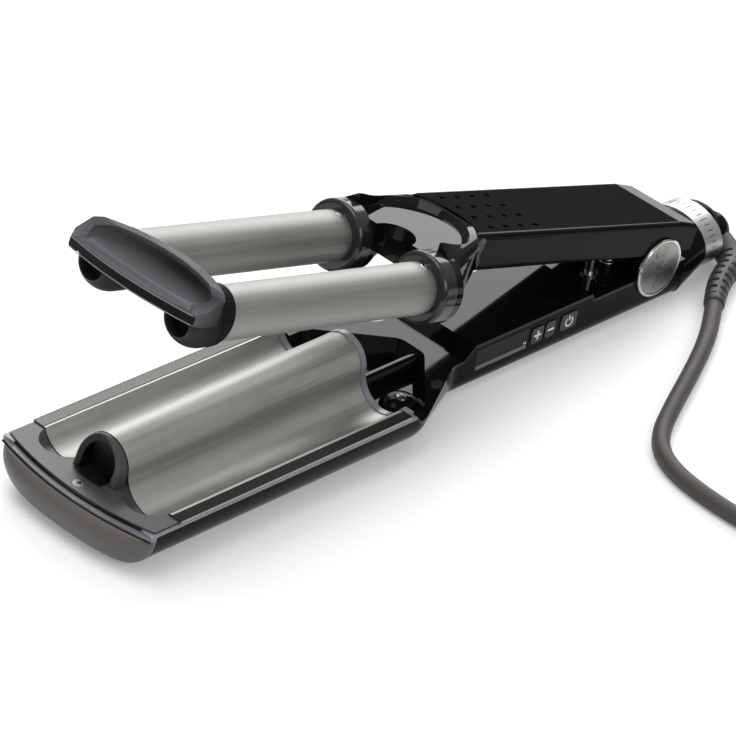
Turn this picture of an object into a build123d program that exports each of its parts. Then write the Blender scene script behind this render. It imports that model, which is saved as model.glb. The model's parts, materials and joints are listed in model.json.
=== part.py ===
from build123d import *
from math import atan2, cos, pi, radians, sin, sqrt, tan
import os

# Hair waver with two round barrels that close into a W-shaped plate.
# The frame has +Z up, the tip towards -X, the controls on the -Y side, and its origin on the resting face
# under the hinge. Most sizes are given from the hinge axis, on the planes LOWER and UPPER.

os.makedirs("parts", exist_ok=True)

# ---- driving dimensions, mm ------------------------------------------------------------------------------
HINGE_Z = 22.5            # hinge axis above the resting face
OPEN_ANGLE = 13.8         # angle between the arms as the spring leaves them
WALL = 2.4                # moulded housing wall
SHEET = 1.0               # metal plate and barrel wall
FIT = 0.05                # clearance between parts that are fixed to each other
RUN = 0.3                 # clearance between faces that move past each other

# wave plate and jaw
PLATE_FRONT = -312.0      # front edge of the metal plate
PLATE_REAR = -180.0       # rear edge of the metal plate
VALLEY_Y = 24.5           # middle of each valley
VALLEY_R = 12.8           # valley radius
WAVE_Z = 4.9              # height of the centres of the valley and ridge arcs
FLANGE_Z = -0.3           # top of the plate's flat edges
JAW_HALF = 43.0           # half width of the jaw
FLANGE_Y = JAW_HALF - 0.2     # outer edge of the plate
JAW_CORNER = 20.0         # rounding under the jaw
JAW_SEAM_Z = -2.6         # top of the housing wall along the jaw
JAW_FRONT = PLATE_FRONT - 13.0    # front end of the housing
JAW_REAR = PLATE_REAR + 9.0       # where the jaw starts to narrow
FRAME_END = 3.0           # thickness of the end wall behind the metal plate

# lower handle
NECK_X = -131.0           # where the handle reaches its own width
HANDLE_HALF = 21.0        # half width of both handles
HANDLE_CORNER = 8.0       # rounding under the lower handle
HANDLE_REAR = 20.0        # rear end of the housing
DECK_T = 1.5              # thickness of the inner cover
NECK_TOP = -5.0           # top of the inner cover at the neck
SHOULDER_DROP = 3.5       # length of the slope from the jaw's edge down to the neck
DECK_TOP = 0.5            # top of the inner cover over the controls
REAR_TOP = -2.6           # top of the inner cover at the hinge
RAMP_FRONT = -124.0       # foot of the ramp from the neck to the controls
RAMP_REAR = -118.0        # head of that ramp
STEP_X = -42.0            # step down towards the hinge
PIT_FLOOR = -14.0         # floor of the recess behind the plate
PIT_TAPER = 24.0          # slope of the recess walls, degrees from upright

# controls, on the near wall
DISPLAY_X = -100.0
DISPLAY_LENGTH = 33.0
DISPLAY_HEIGHT = 10.0
CONTROL_Z = -7.8
BUTTON_X = (-77.8, -69.4, -57.4)
BUTTON_WIDTH = (7.6, 6.4, 10.6)
BUTTON_HEIGHT = 8.2
BUTTON_CORNER = 2.0
BUTTON_PROUD = 0.6

# hinge
PIN_R = 2.5
PIN_GAP = 0.05            # running fit of the bushes on the pin
BUSH_R = 4.0
LUG_R = 8.0
LUG_Y = 12.5              # inner face of each hinge lug
LUG_T = 4.1
CHEEK_R = 12.0
CHEEK_Y = 17.0            # inner face of each cheek of the lower housing
CHEEK_GAP = 0.4           # clearance round the cheeks in the upper cover
MEDAL_R = 14.0
MEDAL_T = 1.3
MEDAL_GAP = 0.25          # gap between a medallion and the upper cover that turns behind it

# stop post and spring between the arms
POST_X = -27.0
POST_Y = -5.0
POST_R = 2.2
POST_HEAD_R = 3.9
SPRING_X = -12.0
SPRING_Y = -2.5
SPRING_R = 3.4
SPRING_WIRE = 1.1

# barrels
BARREL_Y = 24.25
BARREL_Z = 6.9
BARREL_R = 11.0
BARREL_FRONT = -308.5
SOCKET_DEPTH = 10.0       # how far a barrel sits in the block
COLLAR_R = 15.5
COLLAR_FRONT = -176.0
BLOCK_FRONT = -168.0

# upper handle
COVER_REAR = 21.0
TOP_FRONT_Z = 26.2        # top of the upper handle at its front
TOP_REAR_Z = 20.6         # top of the upper handle at the rear bend
TOP_BEND_X = 8.0          # where the top bends down to the rear
REAR_END_Z = 18.6         # top of the rear end
SIDE_FRONT_Z = 9.7        # lower edge of the side wall at the front
SIDE_REAR_Z = 6.3         # lower edge of the side wall at the rear
SCOOP_R = 28.5            # round front edge of the top
SCOOP_X = -131.0          # rearmost point of that edge
LINER_T = 1.5

# tip bridge
BRIDGE_FRONT = BARREL_FRONT - 20.0
BRIDGE_REAR = BARREL_FRONT + 9.0
BRIDGE_HALF = 37.0
BRIDGE_FRONT_Z = 13.6
BRIDGE_REAR_Z = 21.0
BRIDGE_LIP = 4.5          # height of the front lip
CUP_R = 12.4
CUP_CENTRE_X = BARREL_FRONT - 2.0     # centre of each cup's round front

# tail
TAIL_RING_Y = 18.3        # half width of the oval ring
TAIL_RING_Z = 14.0        # half height of the oval ring
TAIL_AXIS_Z = -8.5        # swivel axis
RING_FRONT = 38.7
RING_REAR = 50.4
COLLAR_END = 56.0
SWIVEL_R = 13.3
KNUCKLE_R = 9.5

# cord
CORD_R = 4.0
RELIEF_ROOT_R = 6.6
RELIEF_END_R = 4.8
COIL_CENTRE = (-43.0, -206.0)
COIL_MID_R = 46.0
COIL_WIDTH = 25.6         # three cords side by side and their tie
COIL_HEIGHT = 25.6        # three cords high and their tie
COIL_ROUND = 7.0

# ---- planes ----------------------------------------------------------------------------------------------
OPEN_COS = cos(radians(OPEN_ANGLE))
OPEN_SIN = sin(radians(OPEN_ANGLE))
LOWER = Plane(origin=(0, 0, HINGE_Z))
UPPER = Plane(origin=(0, 0, HINGE_Z), x_dir=(OPEN_COS, 0, -OPEN_SIN), z_dir=(OPEN_SIN, 0, OPEN_COS))
FLOOR = -HINGE_Z          # height of the resting face, from the hinge axis


def station(arm, x):
    """Plane across an arm at x: sketch x is the arm's y, sketch y is its z, and its normal is +x."""
    return Plane(origin=arm.from_local_coords((x, 0, 0)), x_dir=arm.y_dir, z_dir=arm.x_dir)


def flank(arm, y):
    """Plane along an arm at y: sketch x is the arm's x, sketch y is its z, and its normal is -y."""
    return Plane(origin=arm.from_local_coords((0, y, 0)), x_dir=arm.x_dir, z_dir=-arm.y_dir)


# ---- outline of the lower arm ----------------------------------------------------------------------------
SHOULDER_TURN = atan2(JAW_HALF - HANDLE_HALF, NECK_X - JAW_REAR)
SHOULDER_ROUND = 14.0
SHOULDER_TANGENT = SHOULDER_ROUND * tan(SHOULDER_TURN / 2)
ROUND_STEPS = 4


def arm_half(step):
    """Place along the arm and half width at one step of the two rounds of the shoulder."""
    turn = SHOULDER_TURN * min(step, ROUND_STEPS) / ROUND_STEPS
    if step <= ROUND_STEPS:
        x = JAW_REAR - SHOULDER_TANGENT + SHOULDER_ROUND * sin(turn)
        return x, JAW_HALF - SHOULDER_ROUND * (1 - cos(turn))
    turn = SHOULDER_TURN * (2 * ROUND_STEPS + 1 - step) / ROUND_STEPS
    x = NECK_X + SHOULDER_TANGENT - SHOULDER_ROUND * sin(turn)
    return x, HANDLE_HALF + SHOULDER_ROUND * (1 - cos(turn))


def tray_section(x, half, inset, top):
    """Section of the lower arm: upright walls on a flat bottom with round corners."""
    wide = (half - HANDLE_HALF) / (JAW_HALF - HANDLE_HALF)
    corner = HANDLE_CORNER + wide * (JAW_CORNER - HANDLE_CORNER) - inset
    bottom = FLOOR + inset
    with BuildSketch(station(LOWER, x)) as section:
        with Locations((0, (top + bottom) / 2)):
            Rectangle(2 * (half - inset), top - bottom)
        fillet(section.vertices().group_by(Axis.Y)[0], corner)
    return section.sketch


def tray_body(inset, top):
    """Solid of the lower arm's outline, drawn in by inset, up to the height top."""
    stations = [(JAW_FRONT + inset, JAW_HALF)]
    stations += [arm_half(step) for step in range(2 * ROUND_STEPS + 2)]
    stations += [(HANDLE_REAR - inset, HANDLE_HALF)]
    with BuildPart() as body:
        loft([tray_section(x, half, inset, top) for x, half in stations], ruled=True)
    return body.part


def seam_profile(lift, roof):
    """Side outline from the housing's top edge, raised by lift, up to the height roof."""
    deck_front = PLATE_REAR + FRAME_END
    edge = [
        (JAW_FRONT - WALL, JAW_SEAM_Z + lift),
        (deck_front, JAW_SEAM_Z + lift),
        (deck_front + SHOULDER_DROP, NECK_TOP - DECK_T + lift),
        (RAMP_FRONT, NECK_TOP - DECK_T + lift),
        (RAMP_REAR, DECK_TOP - DECK_T + lift),
        (STEP_X - 1, DECK_TOP - DECK_T + lift),
        (STEP_X + 1, REAR_TOP - DECK_T + lift),
        (HANDLE_REAR + WALL, REAR_TOP - DECK_T + lift),
    ]
    with BuildSketch(flank(LOWER, 0)) as profile:
        with BuildLine():
            Polyline(*edge, (HANDLE_REAR + WALL, roof), (JAW_FRONT - WALL, roof), close=True)
        make_face()
    return profile.sketch


def wave_line(drop, reach):
    """Curve across the jaw that lies drop below the plate's top, out to reach on both sides."""
    valley = VALLEY_R + drop
    ridge = VALLEY_Y - valley
    edge_z = FLANGE_Z - drop
    side = VALLEY_Y + sqrt(valley**2 - (WAVE_Z - edge_z) ** 2)
    Line((-reach, edge_z), (-side, edge_z))
    ThreePointArc((-side, edge_z), (-VALLEY_Y, WAVE_Z - valley), (-ridge, WAVE_Z))
    ThreePointArc((-ridge, WAVE_Z), (0, WAVE_Z + ridge), (ridge, WAVE_Z))
    ThreePointArc((ridge, WAVE_Z), (VALLEY_Y, WAVE_Z - valley), (side, edge_z))
    Line((side, edge_z), (reach, edge_z))
    return edge_z


def wave_band(x, top_drop, bottom_drop, reach):
    """Section at x of a sheet that follows the wave between two depths below the plate's top."""
    with BuildSketch(station(LOWER, x)) as band:
        with BuildLine():
            top_z = wave_line(top_drop, reach)
            bottom_z = wave_line(bottom_drop, reach)
            Line((-reach, top_z), (-reach, bottom_z))
            Line((reach, top_z), (reach, bottom_z))
        make_face()
    return band.sketch


def wave_base(x, drop, reach, bottom):
    """Section at x of what lies under the wave, from drop below the plate's top down to bottom."""
    with BuildSketch(station(LOWER, x)) as base:
        with BuildLine():
            top_z = wave_line(drop, reach)
            Polyline((-reach, top_z), (-reach, bottom), (reach, bottom), (reach, top_z))
        make_face()
    return base.sketch


# ---- wave plate ------------------------------------------------------------------------------------------
with BuildPart() as wave_plate:
    extrude(wave_band(PLATE_FRONT, 0, SHEET, FLANGE_Y), amount=PLATE_REAR - PLATE_FRONT)
wave_plate.part.label = "wave_plate"
export_step(wave_plate.part, "parts/wave_plate.step")

# ---- lower housing: jaw tray, handle shell and hinge cheeks ----------------------------------------------
ROOF = 30.0               # above everything that is trimmed
CLAMP_TOP = -12.9         # top of the sheet that carries the plate heaters
CLAMP_T = 1.0
CLAMP_SLOT = 44.0
CLAMP_SLOT_WIDTH = 12.0
CLAMP_X = (PLATE_FRONT + 9.0, PLATE_REAR - 9.0)
CLAMP_HALF = 31.0
CLAMP_SCREW_LENGTH = 4.0
POST_BOSS_R = 3.5
BOARD_X = (-117.0, -46.0)
BOARD_Y = (-13.4, -11.8)
BOARD_TOP = -2.9
BOARD_BOTTOM = -17.0
RIB_T = 1.6
SCREW_R = 1.4
HEAD_R = 2.6
HEAD_T = 1.6
HOUSING_SCREW_X = (-95.0, -20.0)
HOUSING_SCREW_Y = 7.0
DECK_BOSS_R = 3.2
HOUSING_SCREW_LENGTH = 8.0
HOUSING_SCREW_SHANK = 10.0
BUTTON_GAP = 0.15
CHEEK_OUT = HANDLE_HALF + MEDAL_GAP
ROOT = 0.4                # how far a boss or rib roots into the wall it stands on
FLOOR_IN = FLOOR + WALL   # inside of the housing's floor

outer_tray = tray_body(0, ROOF)
inner_tray = tray_body(WALL, ROOF)
above_seam = seam_profile(0, ROOF + WALL)
post_places = [(x, side * (CLAMP_HALF - POST_BOSS_R)) for x in CLAMP_X for side in (-1, 1)]
housing_screw_places = [(x, side * HOUSING_SCREW_Y) for x in HOUSING_SCREW_X for side in (-1, 1)]

with BuildPart() as lower_housing:
    add(outer_tray)
    add(inner_tray, mode=Mode.SUBTRACT)
    extrude(above_seam, amount=JAW_HALF + WALL, both=True, mode=Mode.SUBTRACT)
    # posts under the heater clamp
    with BuildSketch(LOWER.offset(FLOOR_IN - ROOT)):
        with Locations(*post_places):
            Circle(POST_BOSS_R)
    extrude(amount=CLAMP_TOP - CLAMP_T - FLOOR_IN + ROOT)
    with BuildSketch(LOWER.offset(CLAMP_TOP - CLAMP_SCREW_LENGTH)):
        with Locations(*post_places):
            Circle(SCREW_R + FIT)
    extrude(amount=CLAMP_SCREW_LENGTH, mode=Mode.SUBTRACT)
    # bosses for the screws that come up from below
    with BuildSketch(LOWER.offset(FLOOR_IN - ROOT)):
        with Locations(*housing_screw_places):
            Circle(HEAD_R + WALL / 2)
    extrude(amount=ROOT + 2 * HEAD_T)
    with BuildSketch(LOWER.offset(FLOOR)):
        with Locations(*housing_screw_places):
            Circle(HEAD_R + FIT)
    extrude(amount=HEAD_T + FIT, mode=Mode.SUBTRACT)
    with BuildSketch(LOWER.offset(FLOOR)):
        with Locations(*housing_screw_places):
            Circle(SCREW_R + FIT)
    extrude(amount=WALL + 3 * HEAD_T, mode=Mode.SUBTRACT)
    # slotted ribs that hold the control board upright
    with BuildSketch(LOWER.offset(FLOOR_IN - ROOT)):
        for x in BOARD_X:
            with Locations((x, sum(BOARD_Y) / 2)):
                Rectangle(2 * RIB_T, 3 * RIB_T)
    extrude(amount=CONTROL_Z - FLOOR_IN + ROOT)
    with BuildSketch(LOWER.offset(BOARD_BOTTOM - FIT)):
        with Locations((sum(BOARD_X) / 2, sum(BOARD_Y) / 2)):
            Rectangle(BOARD_X[1] - BOARD_X[0] + 2 * FIT, BOARD_Y[1] - BOARD_Y[0] + 2 * FIT)
    extrude(amount=ROOF, mode=Mode.SUBTRACT)
    # display opening and button openings in the near wall
    with BuildSketch(flank(LOWER, -HANDLE_HALF)):
        with Locations((DISPLAY_X, CONTROL_Z)):
            Rectangle(DISPLAY_LENGTH, DISPLAY_HEIGHT)
        for x, width in zip(BUTTON_X, BUTTON_WIDTH):
            with Locations((x, CONTROL_Z)):
                RectangleRounded(width + 2 * BUTTON_GAP, BUTTON_HEIGHT + 2 * BUTTON_GAP, BUTTON_CORNER)
    extrude(amount=-WALL - FIT, mode=Mode.SUBTRACT)
    # hinge cheeks
    for side in (-1, 1):
        with BuildSketch(flank(LOWER, side * CHEEK_Y)):
            Circle(CHEEK_R)
        extrude(amount=-side * (CHEEK_OUT - CHEEK_Y))
    with BuildSketch(flank(LOWER, CHEEK_OUT)):
        Circle(PIN_R + FIT)
    extrude(amount=2 * CHEEK_OUT, mode=Mode.SUBTRACT)
lower_housing.part.label = "lower_housing"
export_step(lower_housing.part, "parts/lower_housing.step")

# ---- lower deck: inner cover of the handle with the recess behind the plate ------------------------------
PIT_WALL = 1.5
PIT_ROUND = 7.0
PIT_NOSE_X = -134.0
PIT_WIDE_X = -163.0
PIT_HALF = JAW_HALF - 8.0
DECK_FRONT = PLATE_REAR + FRAME_END
CONDUIT_R = 3.6
CONDUIT_Y = -3.0


def pit_outline(grow):
    """Plan of the recess behind the plate, grown outwards by grow."""
    with BuildSketch(LOWER.offset(NECK_TOP)) as outline:
        with BuildLine():
            Polyline(
                (DECK_FRONT, -PIT_HALF - grow),
                (PIT_WIDE_X, -PIT_HALF - grow),
                (PIT_NOSE_X + grow, -PIT_ROUND),
                (PIT_NOSE_X + grow, PIT_ROUND),
                (PIT_WIDE_X, PIT_HALF + grow),
                (DECK_FRONT, PIT_HALF + grow),
                close=True,
            )
        make_face()
        fillet(outline.vertices().filter_by_position(Axis.X, PIT_WIDE_X - 1, 0), PIT_ROUND)
    return outline.sketch


above_deck = seam_profile(DECK_T, ROOF + WALL)
deck_band = seam_profile(0, ROOF + WALL)

with BuildPart() as lower_deck:
    # the band between the housing's top edge and the deck's own top
    add(outer_tray)
    extrude(deck_band, amount=JAW_HALF + WALL, both=True, mode=Mode.INTERSECT)
    extrude(above_deck, amount=JAW_HALF + WALL, both=True, mode=Mode.SUBTRACT)
    # the recess: a thin tub with sloping walls
    extrude(pit_outline(PIT_WALL), amount=PIT_FLOOR - PIT_WALL - NECK_TOP, taper=PIT_TAPER)
    extrude(pit_outline(0), amount=PIT_FLOOR - NECK_TOP, taper=PIT_TAPER, mode=Mode.SUBTRACT)
    extrude(pit_outline(0), amount=ROOF, mode=Mode.SUBTRACT)
    # cut square behind the plate
    with BuildSketch(LOWER.offset(FLOOR)):
        with Locations(((JAW_FRONT + DECK_FRONT) / 2 - WALL, 0)):
            Rectangle(DECK_FRONT - JAW_FRONT + 2 * WALL, 3 * JAW_HALF)
    extrude(amount=2 * ROOF, mode=Mode.SUBTRACT)
    # wiring tunnel along the recess
    with BuildSketch(station(LOWER, DECK_FRONT)):
        with Locations((CONDUIT_Y, PIT_FLOOR + CONDUIT_R)):
            Circle(CONDUIT_R)
        with Locations((CONDUIT_Y, PIT_FLOOR + CONDUIT_R / 2 - PIT_WALL / 2)):
            Rectangle(2 * CONDUIT_R, CONDUIT_R + PIT_WALL)
    extrude(amount=PIT_NOSE_X - DECK_FRONT)
    with BuildSketch(station(LOWER, DECK_FRONT)):
        with Locations((CONDUIT_Y, PIT_FLOOR + CONDUIT_R)):
            Circle(CONDUIT_R - PIT_WALL)
    extrude(amount=PIT_NOSE_X - DECK_FRONT, mode=Mode.SUBTRACT)
    # screw bosses that reach down to the housing's bosses
    with BuildSketch(LOWER.offset(FLOOR_IN + 2 * HEAD_T)):
        with Locations(*housing_screw_places):
            Circle(DECK_BOSS_R)
    extrude(until=Until.NEXT)
    with BuildSketch(LOWER.offset(FLOOR_IN + 2 * HEAD_T)):
        with Locations(*housing_screw_places):
            Circle(SCREW_R + FIT)
    extrude(amount=HOUSING_SCREW_LENGTH, mode=Mode.SUBTRACT)
    # hollows for the hinge cheeks and the upper cover's lugs
    for side in (-1, 1):
        with BuildSketch(flank(LOWER, side * (CHEEK_Y - RUN))):
            Circle(CHEEK_R + FIT)
        extrude(amount=-side * HANDLE_HALF, mode=Mode.SUBTRACT)
        with BuildSketch(flank(LOWER, side * (LUG_Y - RUN))):
            Circle(LUG_R + RUN)
        extrude(amount=-side * (LUG_T + 2 * RUN), mode=Mode.SUBTRACT)
lower_deck.part.label = "lower_deck"
export_step(lower_deck.part, "parts/lower_deck.step")

# ---- plate frame: side rails, front strip and the end wall behind the plate ------------------------------
RAIL_T = FLANGE_Z - SHEET - JAW_SEAM_Z
RAIL_IN = JAW_HALF - 6.1  # inner edge of each side rail
FRAME_LIP = 0.4           # how far the end wall stands above the plate
STRIP_NOSE = JAW_FRONT - 8.8      # front of the strip under the tip cap
STRIP_SIDE = JAW_FRONT - 3.0
STRIP_Z = -4.0
CAP_NOSE = JAW_FRONT - 6.5
CAP_SIDE = JAW_FRONT - 0.5
TIP_SCREW_X = JAW_FRONT - 2.0


def nose_arc(nose, side_x, half):
    """Shallow arc across the front of the jaw."""
    ThreePointArc((side_x, -half), (nose, 0), (side_x, half))


frame_bounds = tray_body(WALL + FIT, ROOF)
rail_x = (STRIP_SIDE + DECK_FRONT) / 2
rail_y = (RAIL_IN + JAW_HALF) / 2

with BuildPart() as plate_frame:
    extrude(wave_base(PLATE_REAR, -FRAME_LIP, JAW_HALF, PIT_FLOOR), amount=FRAME_END)
    add(frame_bounds, mode=Mode.INTERSECT)
    with BuildSketch(LOWER.offset(JAW_SEAM_Z)):
        with Locations((rail_x, -rail_y), (rail_x, rail_y)):
            Rectangle(DECK_FRONT - STRIP_SIDE, JAW_HALF - RAIL_IN)
    extrude(amount=RAIL_T)
    with BuildSketch(LOWER.offset(STRIP_Z)) as strip:
        with BuildLine():
            nose_arc(STRIP_NOSE, STRIP_SIDE, JAW_HALF)
            Polyline(
                (STRIP_SIDE, -JAW_HALF),
                (JAW_FRONT, -JAW_HALF),
                (JAW_FRONT, JAW_HALF),
                (STRIP_SIDE, JAW_HALF),
            )
        make_face()
    extrude(amount=JAW_SEAM_Z - STRIP_Z)
    with BuildSketch(LOWER.offset(STRIP_Z)):
        with Locations((TIP_SCREW_X, 0)):
            Circle(SCREW_R + FIT)
    extrude(amount=JAW_SEAM_Z - STRIP_Z, mode=Mode.SUBTRACT)
plate_frame.part.label = "plate_frame"
export_step(plate_frame.part, "parts/plate_frame.step")

# ---- tip cap: dished ends of the valleys and the hood over the end of the ridge ---------------------------
CAP_TOP = -0.5
CAP_WALL = 1.3
RIDGE_R = VALLEY_Y - VALLEY_R
HOOD_WALL = 3.0
HOOD_FOOT_X = PLATE_FRONT - 7.5   # front of the hood at its foot
HOOD_HEAD_X = PLATE_FRONT - 1.5   # front of the hood at its top
HOOD_BACK = 1.2
DISH_X = PLATE_FRONT + 1.5        # centre of each valley's round end
CAP_HALF = JAW_HALF - 1.0


def valley_end(radius):
    """Round end of both valleys ahead of the plate, with the given radius."""
    with BuildPart() as ends:
        with BuildSketch(station(LOWER, PLATE_FRONT)):
            with Locations((-VALLEY_Y, WAVE_Z), (VALLEY_Y, WAVE_Z)):
                Circle(radius)
        extrude(amount=DISH_X - PLATE_FRONT)
        with Locations(*[LOWER.from_local_coords((DISH_X, side * VALLEY_Y, WAVE_Z)) for side in (-1, 1)]):
            Sphere(radius)
    return ends.part


dish_inner = valley_end(VALLEY_R)
dish_outer = valley_end(VALLEY_R + CAP_WALL)

with BuildPart() as tip_cap:
    # round undersides of the dishes, kept below the cap's face and ahead of the plate
    add(dish_outer)
    with BuildSketch(LOWER.offset(CAP_TOP)):
        with Locations((PLATE_FRONT - JAW_HALF, 0)):
            Rectangle(2 * JAW_HALF, 2 * (RAIL_IN - FIT))
    extrude(amount=-ROOF, mode=Mode.INTERSECT)
    # the face, resting on the side rails and the front strip
    with BuildSketch(LOWER.offset(FLANGE_Z - SHEET)):
        with BuildLine():
            nose_arc(CAP_NOSE, CAP_SIDE, CAP_HALF)
            Polyline(
                (CAP_SIDE, -CAP_HALF),
                (PLATE_FRONT, -CAP_HALF),
                (PLATE_FRONT, CAP_HALF),
                (CAP_SIDE, CAP_HALF),
            )
        make_face()
    extrude(amount=CAP_TOP - FLANGE_Z + SHEET)
    with BuildSketch(LOWER.offset(JAW_SEAM_Z)):
        with BuildLine():
            nose_arc(CAP_NOSE, CAP_SIDE, RAIL_IN - FIT)
            Polyline(
                (CAP_SIDE, FIT - RAIL_IN),
                (PLATE_FRONT, FIT - RAIL_IN),
                (PLATE_FRONT, RAIL_IN - FIT),
                (CAP_SIDE, RAIL_IN - FIT),
            )
        make_face()
    extrude(amount=RAIL_T)
    # hood over the end of the ridge, with a slanted front
    with BuildSketch(station(LOWER, PLATE_FRONT)):
        with Locations((0, WAVE_Z)):
            Circle(RIDGE_R)
        with Locations((0, (WAVE_Z + CAP_TOP) / 2)):
            Rectangle(2 * RIDGE_R, WAVE_Z - CAP_TOP)
    extrude(amount=HOOD_FOOT_X - PLATE_FRONT)
    with BuildSketch(flank(LOWER, 0)):
        with BuildLine():
            Polyline(
                (HOOD_FOOT_X, CAP_TOP),
                (HOOD_HEAD_X, WAVE_Z + RIDGE_R),
                (HOOD_HEAD_X, ROOF),
                (HOOD_FOOT_X - ROOF, ROOF),
                (HOOD_FOOT_X - ROOF, CAP_TOP),
                close=True,
            )
        make_face()
    extrude(amount=JAW_HALF, both=True, mode=Mode.SUBTRACT)
    # the dishes themselves and the hollow mouth of the hood
    add(dish_inner, mode=Mode.SUBTRACT)
    with BuildSketch(station(LOWER, PLATE_FRONT - HOOD_BACK)):
        with Locations((0, WAVE_Z)):
            Circle(RIDGE_R - HOOD_WALL)
        with Locations((0, (WAVE_Z + CAP_TOP) / 2)):
            Rectangle(2 * (RIDGE_R - HOOD_WALL), WAVE_Z - CAP_TOP)
    extrude(amount=HOOD_FOOT_X - PLATE_FRONT, mode=Mode.SUBTRACT)
    # recess and hole of the screw
    with BuildSketch(LOWER.offset(CAP_TOP)):
        with Locations((TIP_SCREW_X, 0)):
            Circle(HEAD_R + FIT)
    extrude(amount=-HEAD_T / 2, mode=Mode.SUBTRACT)
    with BuildSketch(LOWER.offset(CAP_TOP)):
        with Locations((TIP_SCREW_X, 0)):
            Circle(SCREW_R + FIT)
    extrude(amount=-ROOF, mode=Mode.SUBTRACT)
tip_cap.part.label = "tip_cap"
export_step(tip_cap.part, "parts/tip_cap.step")

# ---- tip bumper: hollow boat-shaped nose under the tip cap ------------------------------------------------
BUMPER_NOSE = JAW_FRONT - 13.0
BUMPER_BELLY_Z = -9.0     # height at which the nose reaches furthest
BUMPER_TUCK = 3.6         # how far its upper edge lies behind that
BUMPER_FOOT = 0.5         # depth that is left at the resting face
BUMPER_BLUNT = 2.35       # exponent of the outline seen from above, 2 would be an ellipse
BUMPER_LEVELS = (-22.5, -21.6, -19.5, -16.0, -12.5, -9.0, -6.0, -4.0)
BUMPER_OUTLINE_STEPS = 6
BUMPER_WALL = 2.0
TIP_SCREW_DEPTH = 9.0


def bumper_nose(z):
    """Reach of the nose at a height."""
    if z > BUMPER_BELLY_Z:
        return BUMPER_NOSE + BUMPER_TUCK * ((z - BUMPER_BELLY_Z) / (STRIP_Z - BUMPER_BELLY_Z)) ** 2
    share = (BUMPER_BELLY_Z - z) / (BUMPER_BELLY_Z - FLOOR)
    return JAW_FRONT - BUMPER_FOOT - (JAW_FRONT - BUMPER_FOOT - BUMPER_NOSE) * sqrt(1 - share**2)


def bumper_level(z, inset):
    """Outline of the nose at a height, drawn in by inset."""
    under = max(0, FLOOR + JAW_CORNER - z)
    half = JAW_HALF - JAW_CORNER + sqrt(JAW_CORNER**2 - under**2) - inset
    reach = JAW_FRONT - bumper_nose(z) - min(inset, (JAW_FRONT - bumper_nose(z)) / 2)
    points = []
    for step in range(-BUMPER_OUTLINE_STEPS, BUMPER_OUTLINE_STEPS + 1):
        turn = radians(90 * step / BUMPER_OUTLINE_STEPS)
        across = sin(abs(turn)) ** (2 / BUMPER_BLUNT) * (1 if step > 0 else -1)
        points.append((JAW_FRONT - reach * abs(cos(turn)) ** (2 / BUMPER_BLUNT), half * across))
    with BuildSketch(LOWER.offset(z)) as level:
        with BuildLine():
            Spline(*points)
            Line(points[-1], points[0])
        make_face()
    return level.sketch


with BuildPart() as screw_rib:
    with BuildSketch(station(LOWER, JAW_FRONT)):
        with Locations((0, (STRIP_Z + FLOOR) / 2)):
            Rectangle(2 * HEAD_R, STRIP_Z - FLOOR)
    extrude(amount=BUMPER_NOSE - JAW_FRONT)
    loft([bumper_level(z, BUMPER_WALL / 2) for z in BUMPER_LEVELS[1:]], mode=Mode.INTERSECT)

with BuildPart() as tip_bumper:
    loft([bumper_level(z, 0) for z in BUMPER_LEVELS])
    # hollow on both sides of the rib that takes the cap's screw
    loft([bumper_level(z, BUMPER_WALL) for z in BUMPER_LEVELS[2:]], mode=Mode.SUBTRACT)
    add(screw_rib.part)
    with BuildSketch(LOWER.offset(STRIP_Z)):
        with Locations((TIP_SCREW_X, 0)):
            Circle(SCREW_R + FIT)
    extrude(amount=-TIP_SCREW_DEPTH, mode=Mode.SUBTRACT)
tip_bumper.part.label = "tip_bumper"
export_step(tip_bumper.part, "parts/tip_bumper.step")


def screw(plane, places, head_r, shank, recess):
    """Group of pan-head screws: heads above the plane, shanks below it, a cross recess in each head."""
    with BuildPart() as screws:
        with BuildSketch(plane):
            with Locations(*places):
                Circle(head_r)
        extrude(amount=recess)
        with BuildSketch(plane):
            with Locations(*places):
                Circle(SCREW_R)
        extrude(amount=-shank)
        with BuildSketch(plane.offset(recess)):
            with Locations(*places):
                Rectangle(head_r, head_r / 4)
                Rectangle(head_r / 4, head_r)
        extrude(amount=-recess / 2, mode=Mode.SUBTRACT)
    return screws.part


with BuildPart() as tip_cap_screw:
    add(screw(LOWER.offset(CAP_TOP - HEAD_T / 2), [(TIP_SCREW_X, 0)], HEAD_R, TIP_SCREW_DEPTH, HEAD_T / 2))
tip_cap_screw.part.label = "tip_cap_screw"
export_step(tip_cap_screw.part, "parts/tip_cap_screw.step")

# ---- plate heaters: a spreader and a heater under each valley, held up by a clamp -------------------------
HEATER_X = (PLATE_FRONT + 14.0, PLATE_REAR - 14.0)
SPREADER_HALF = 9.0
SPREADER_BOTTOM = -11.0
SPREADER_TOP = -6.0
HEATER_HALF = 7.0
FUSE_R = 2.0
FUSE_X = (-216.0, -204.0)

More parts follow.
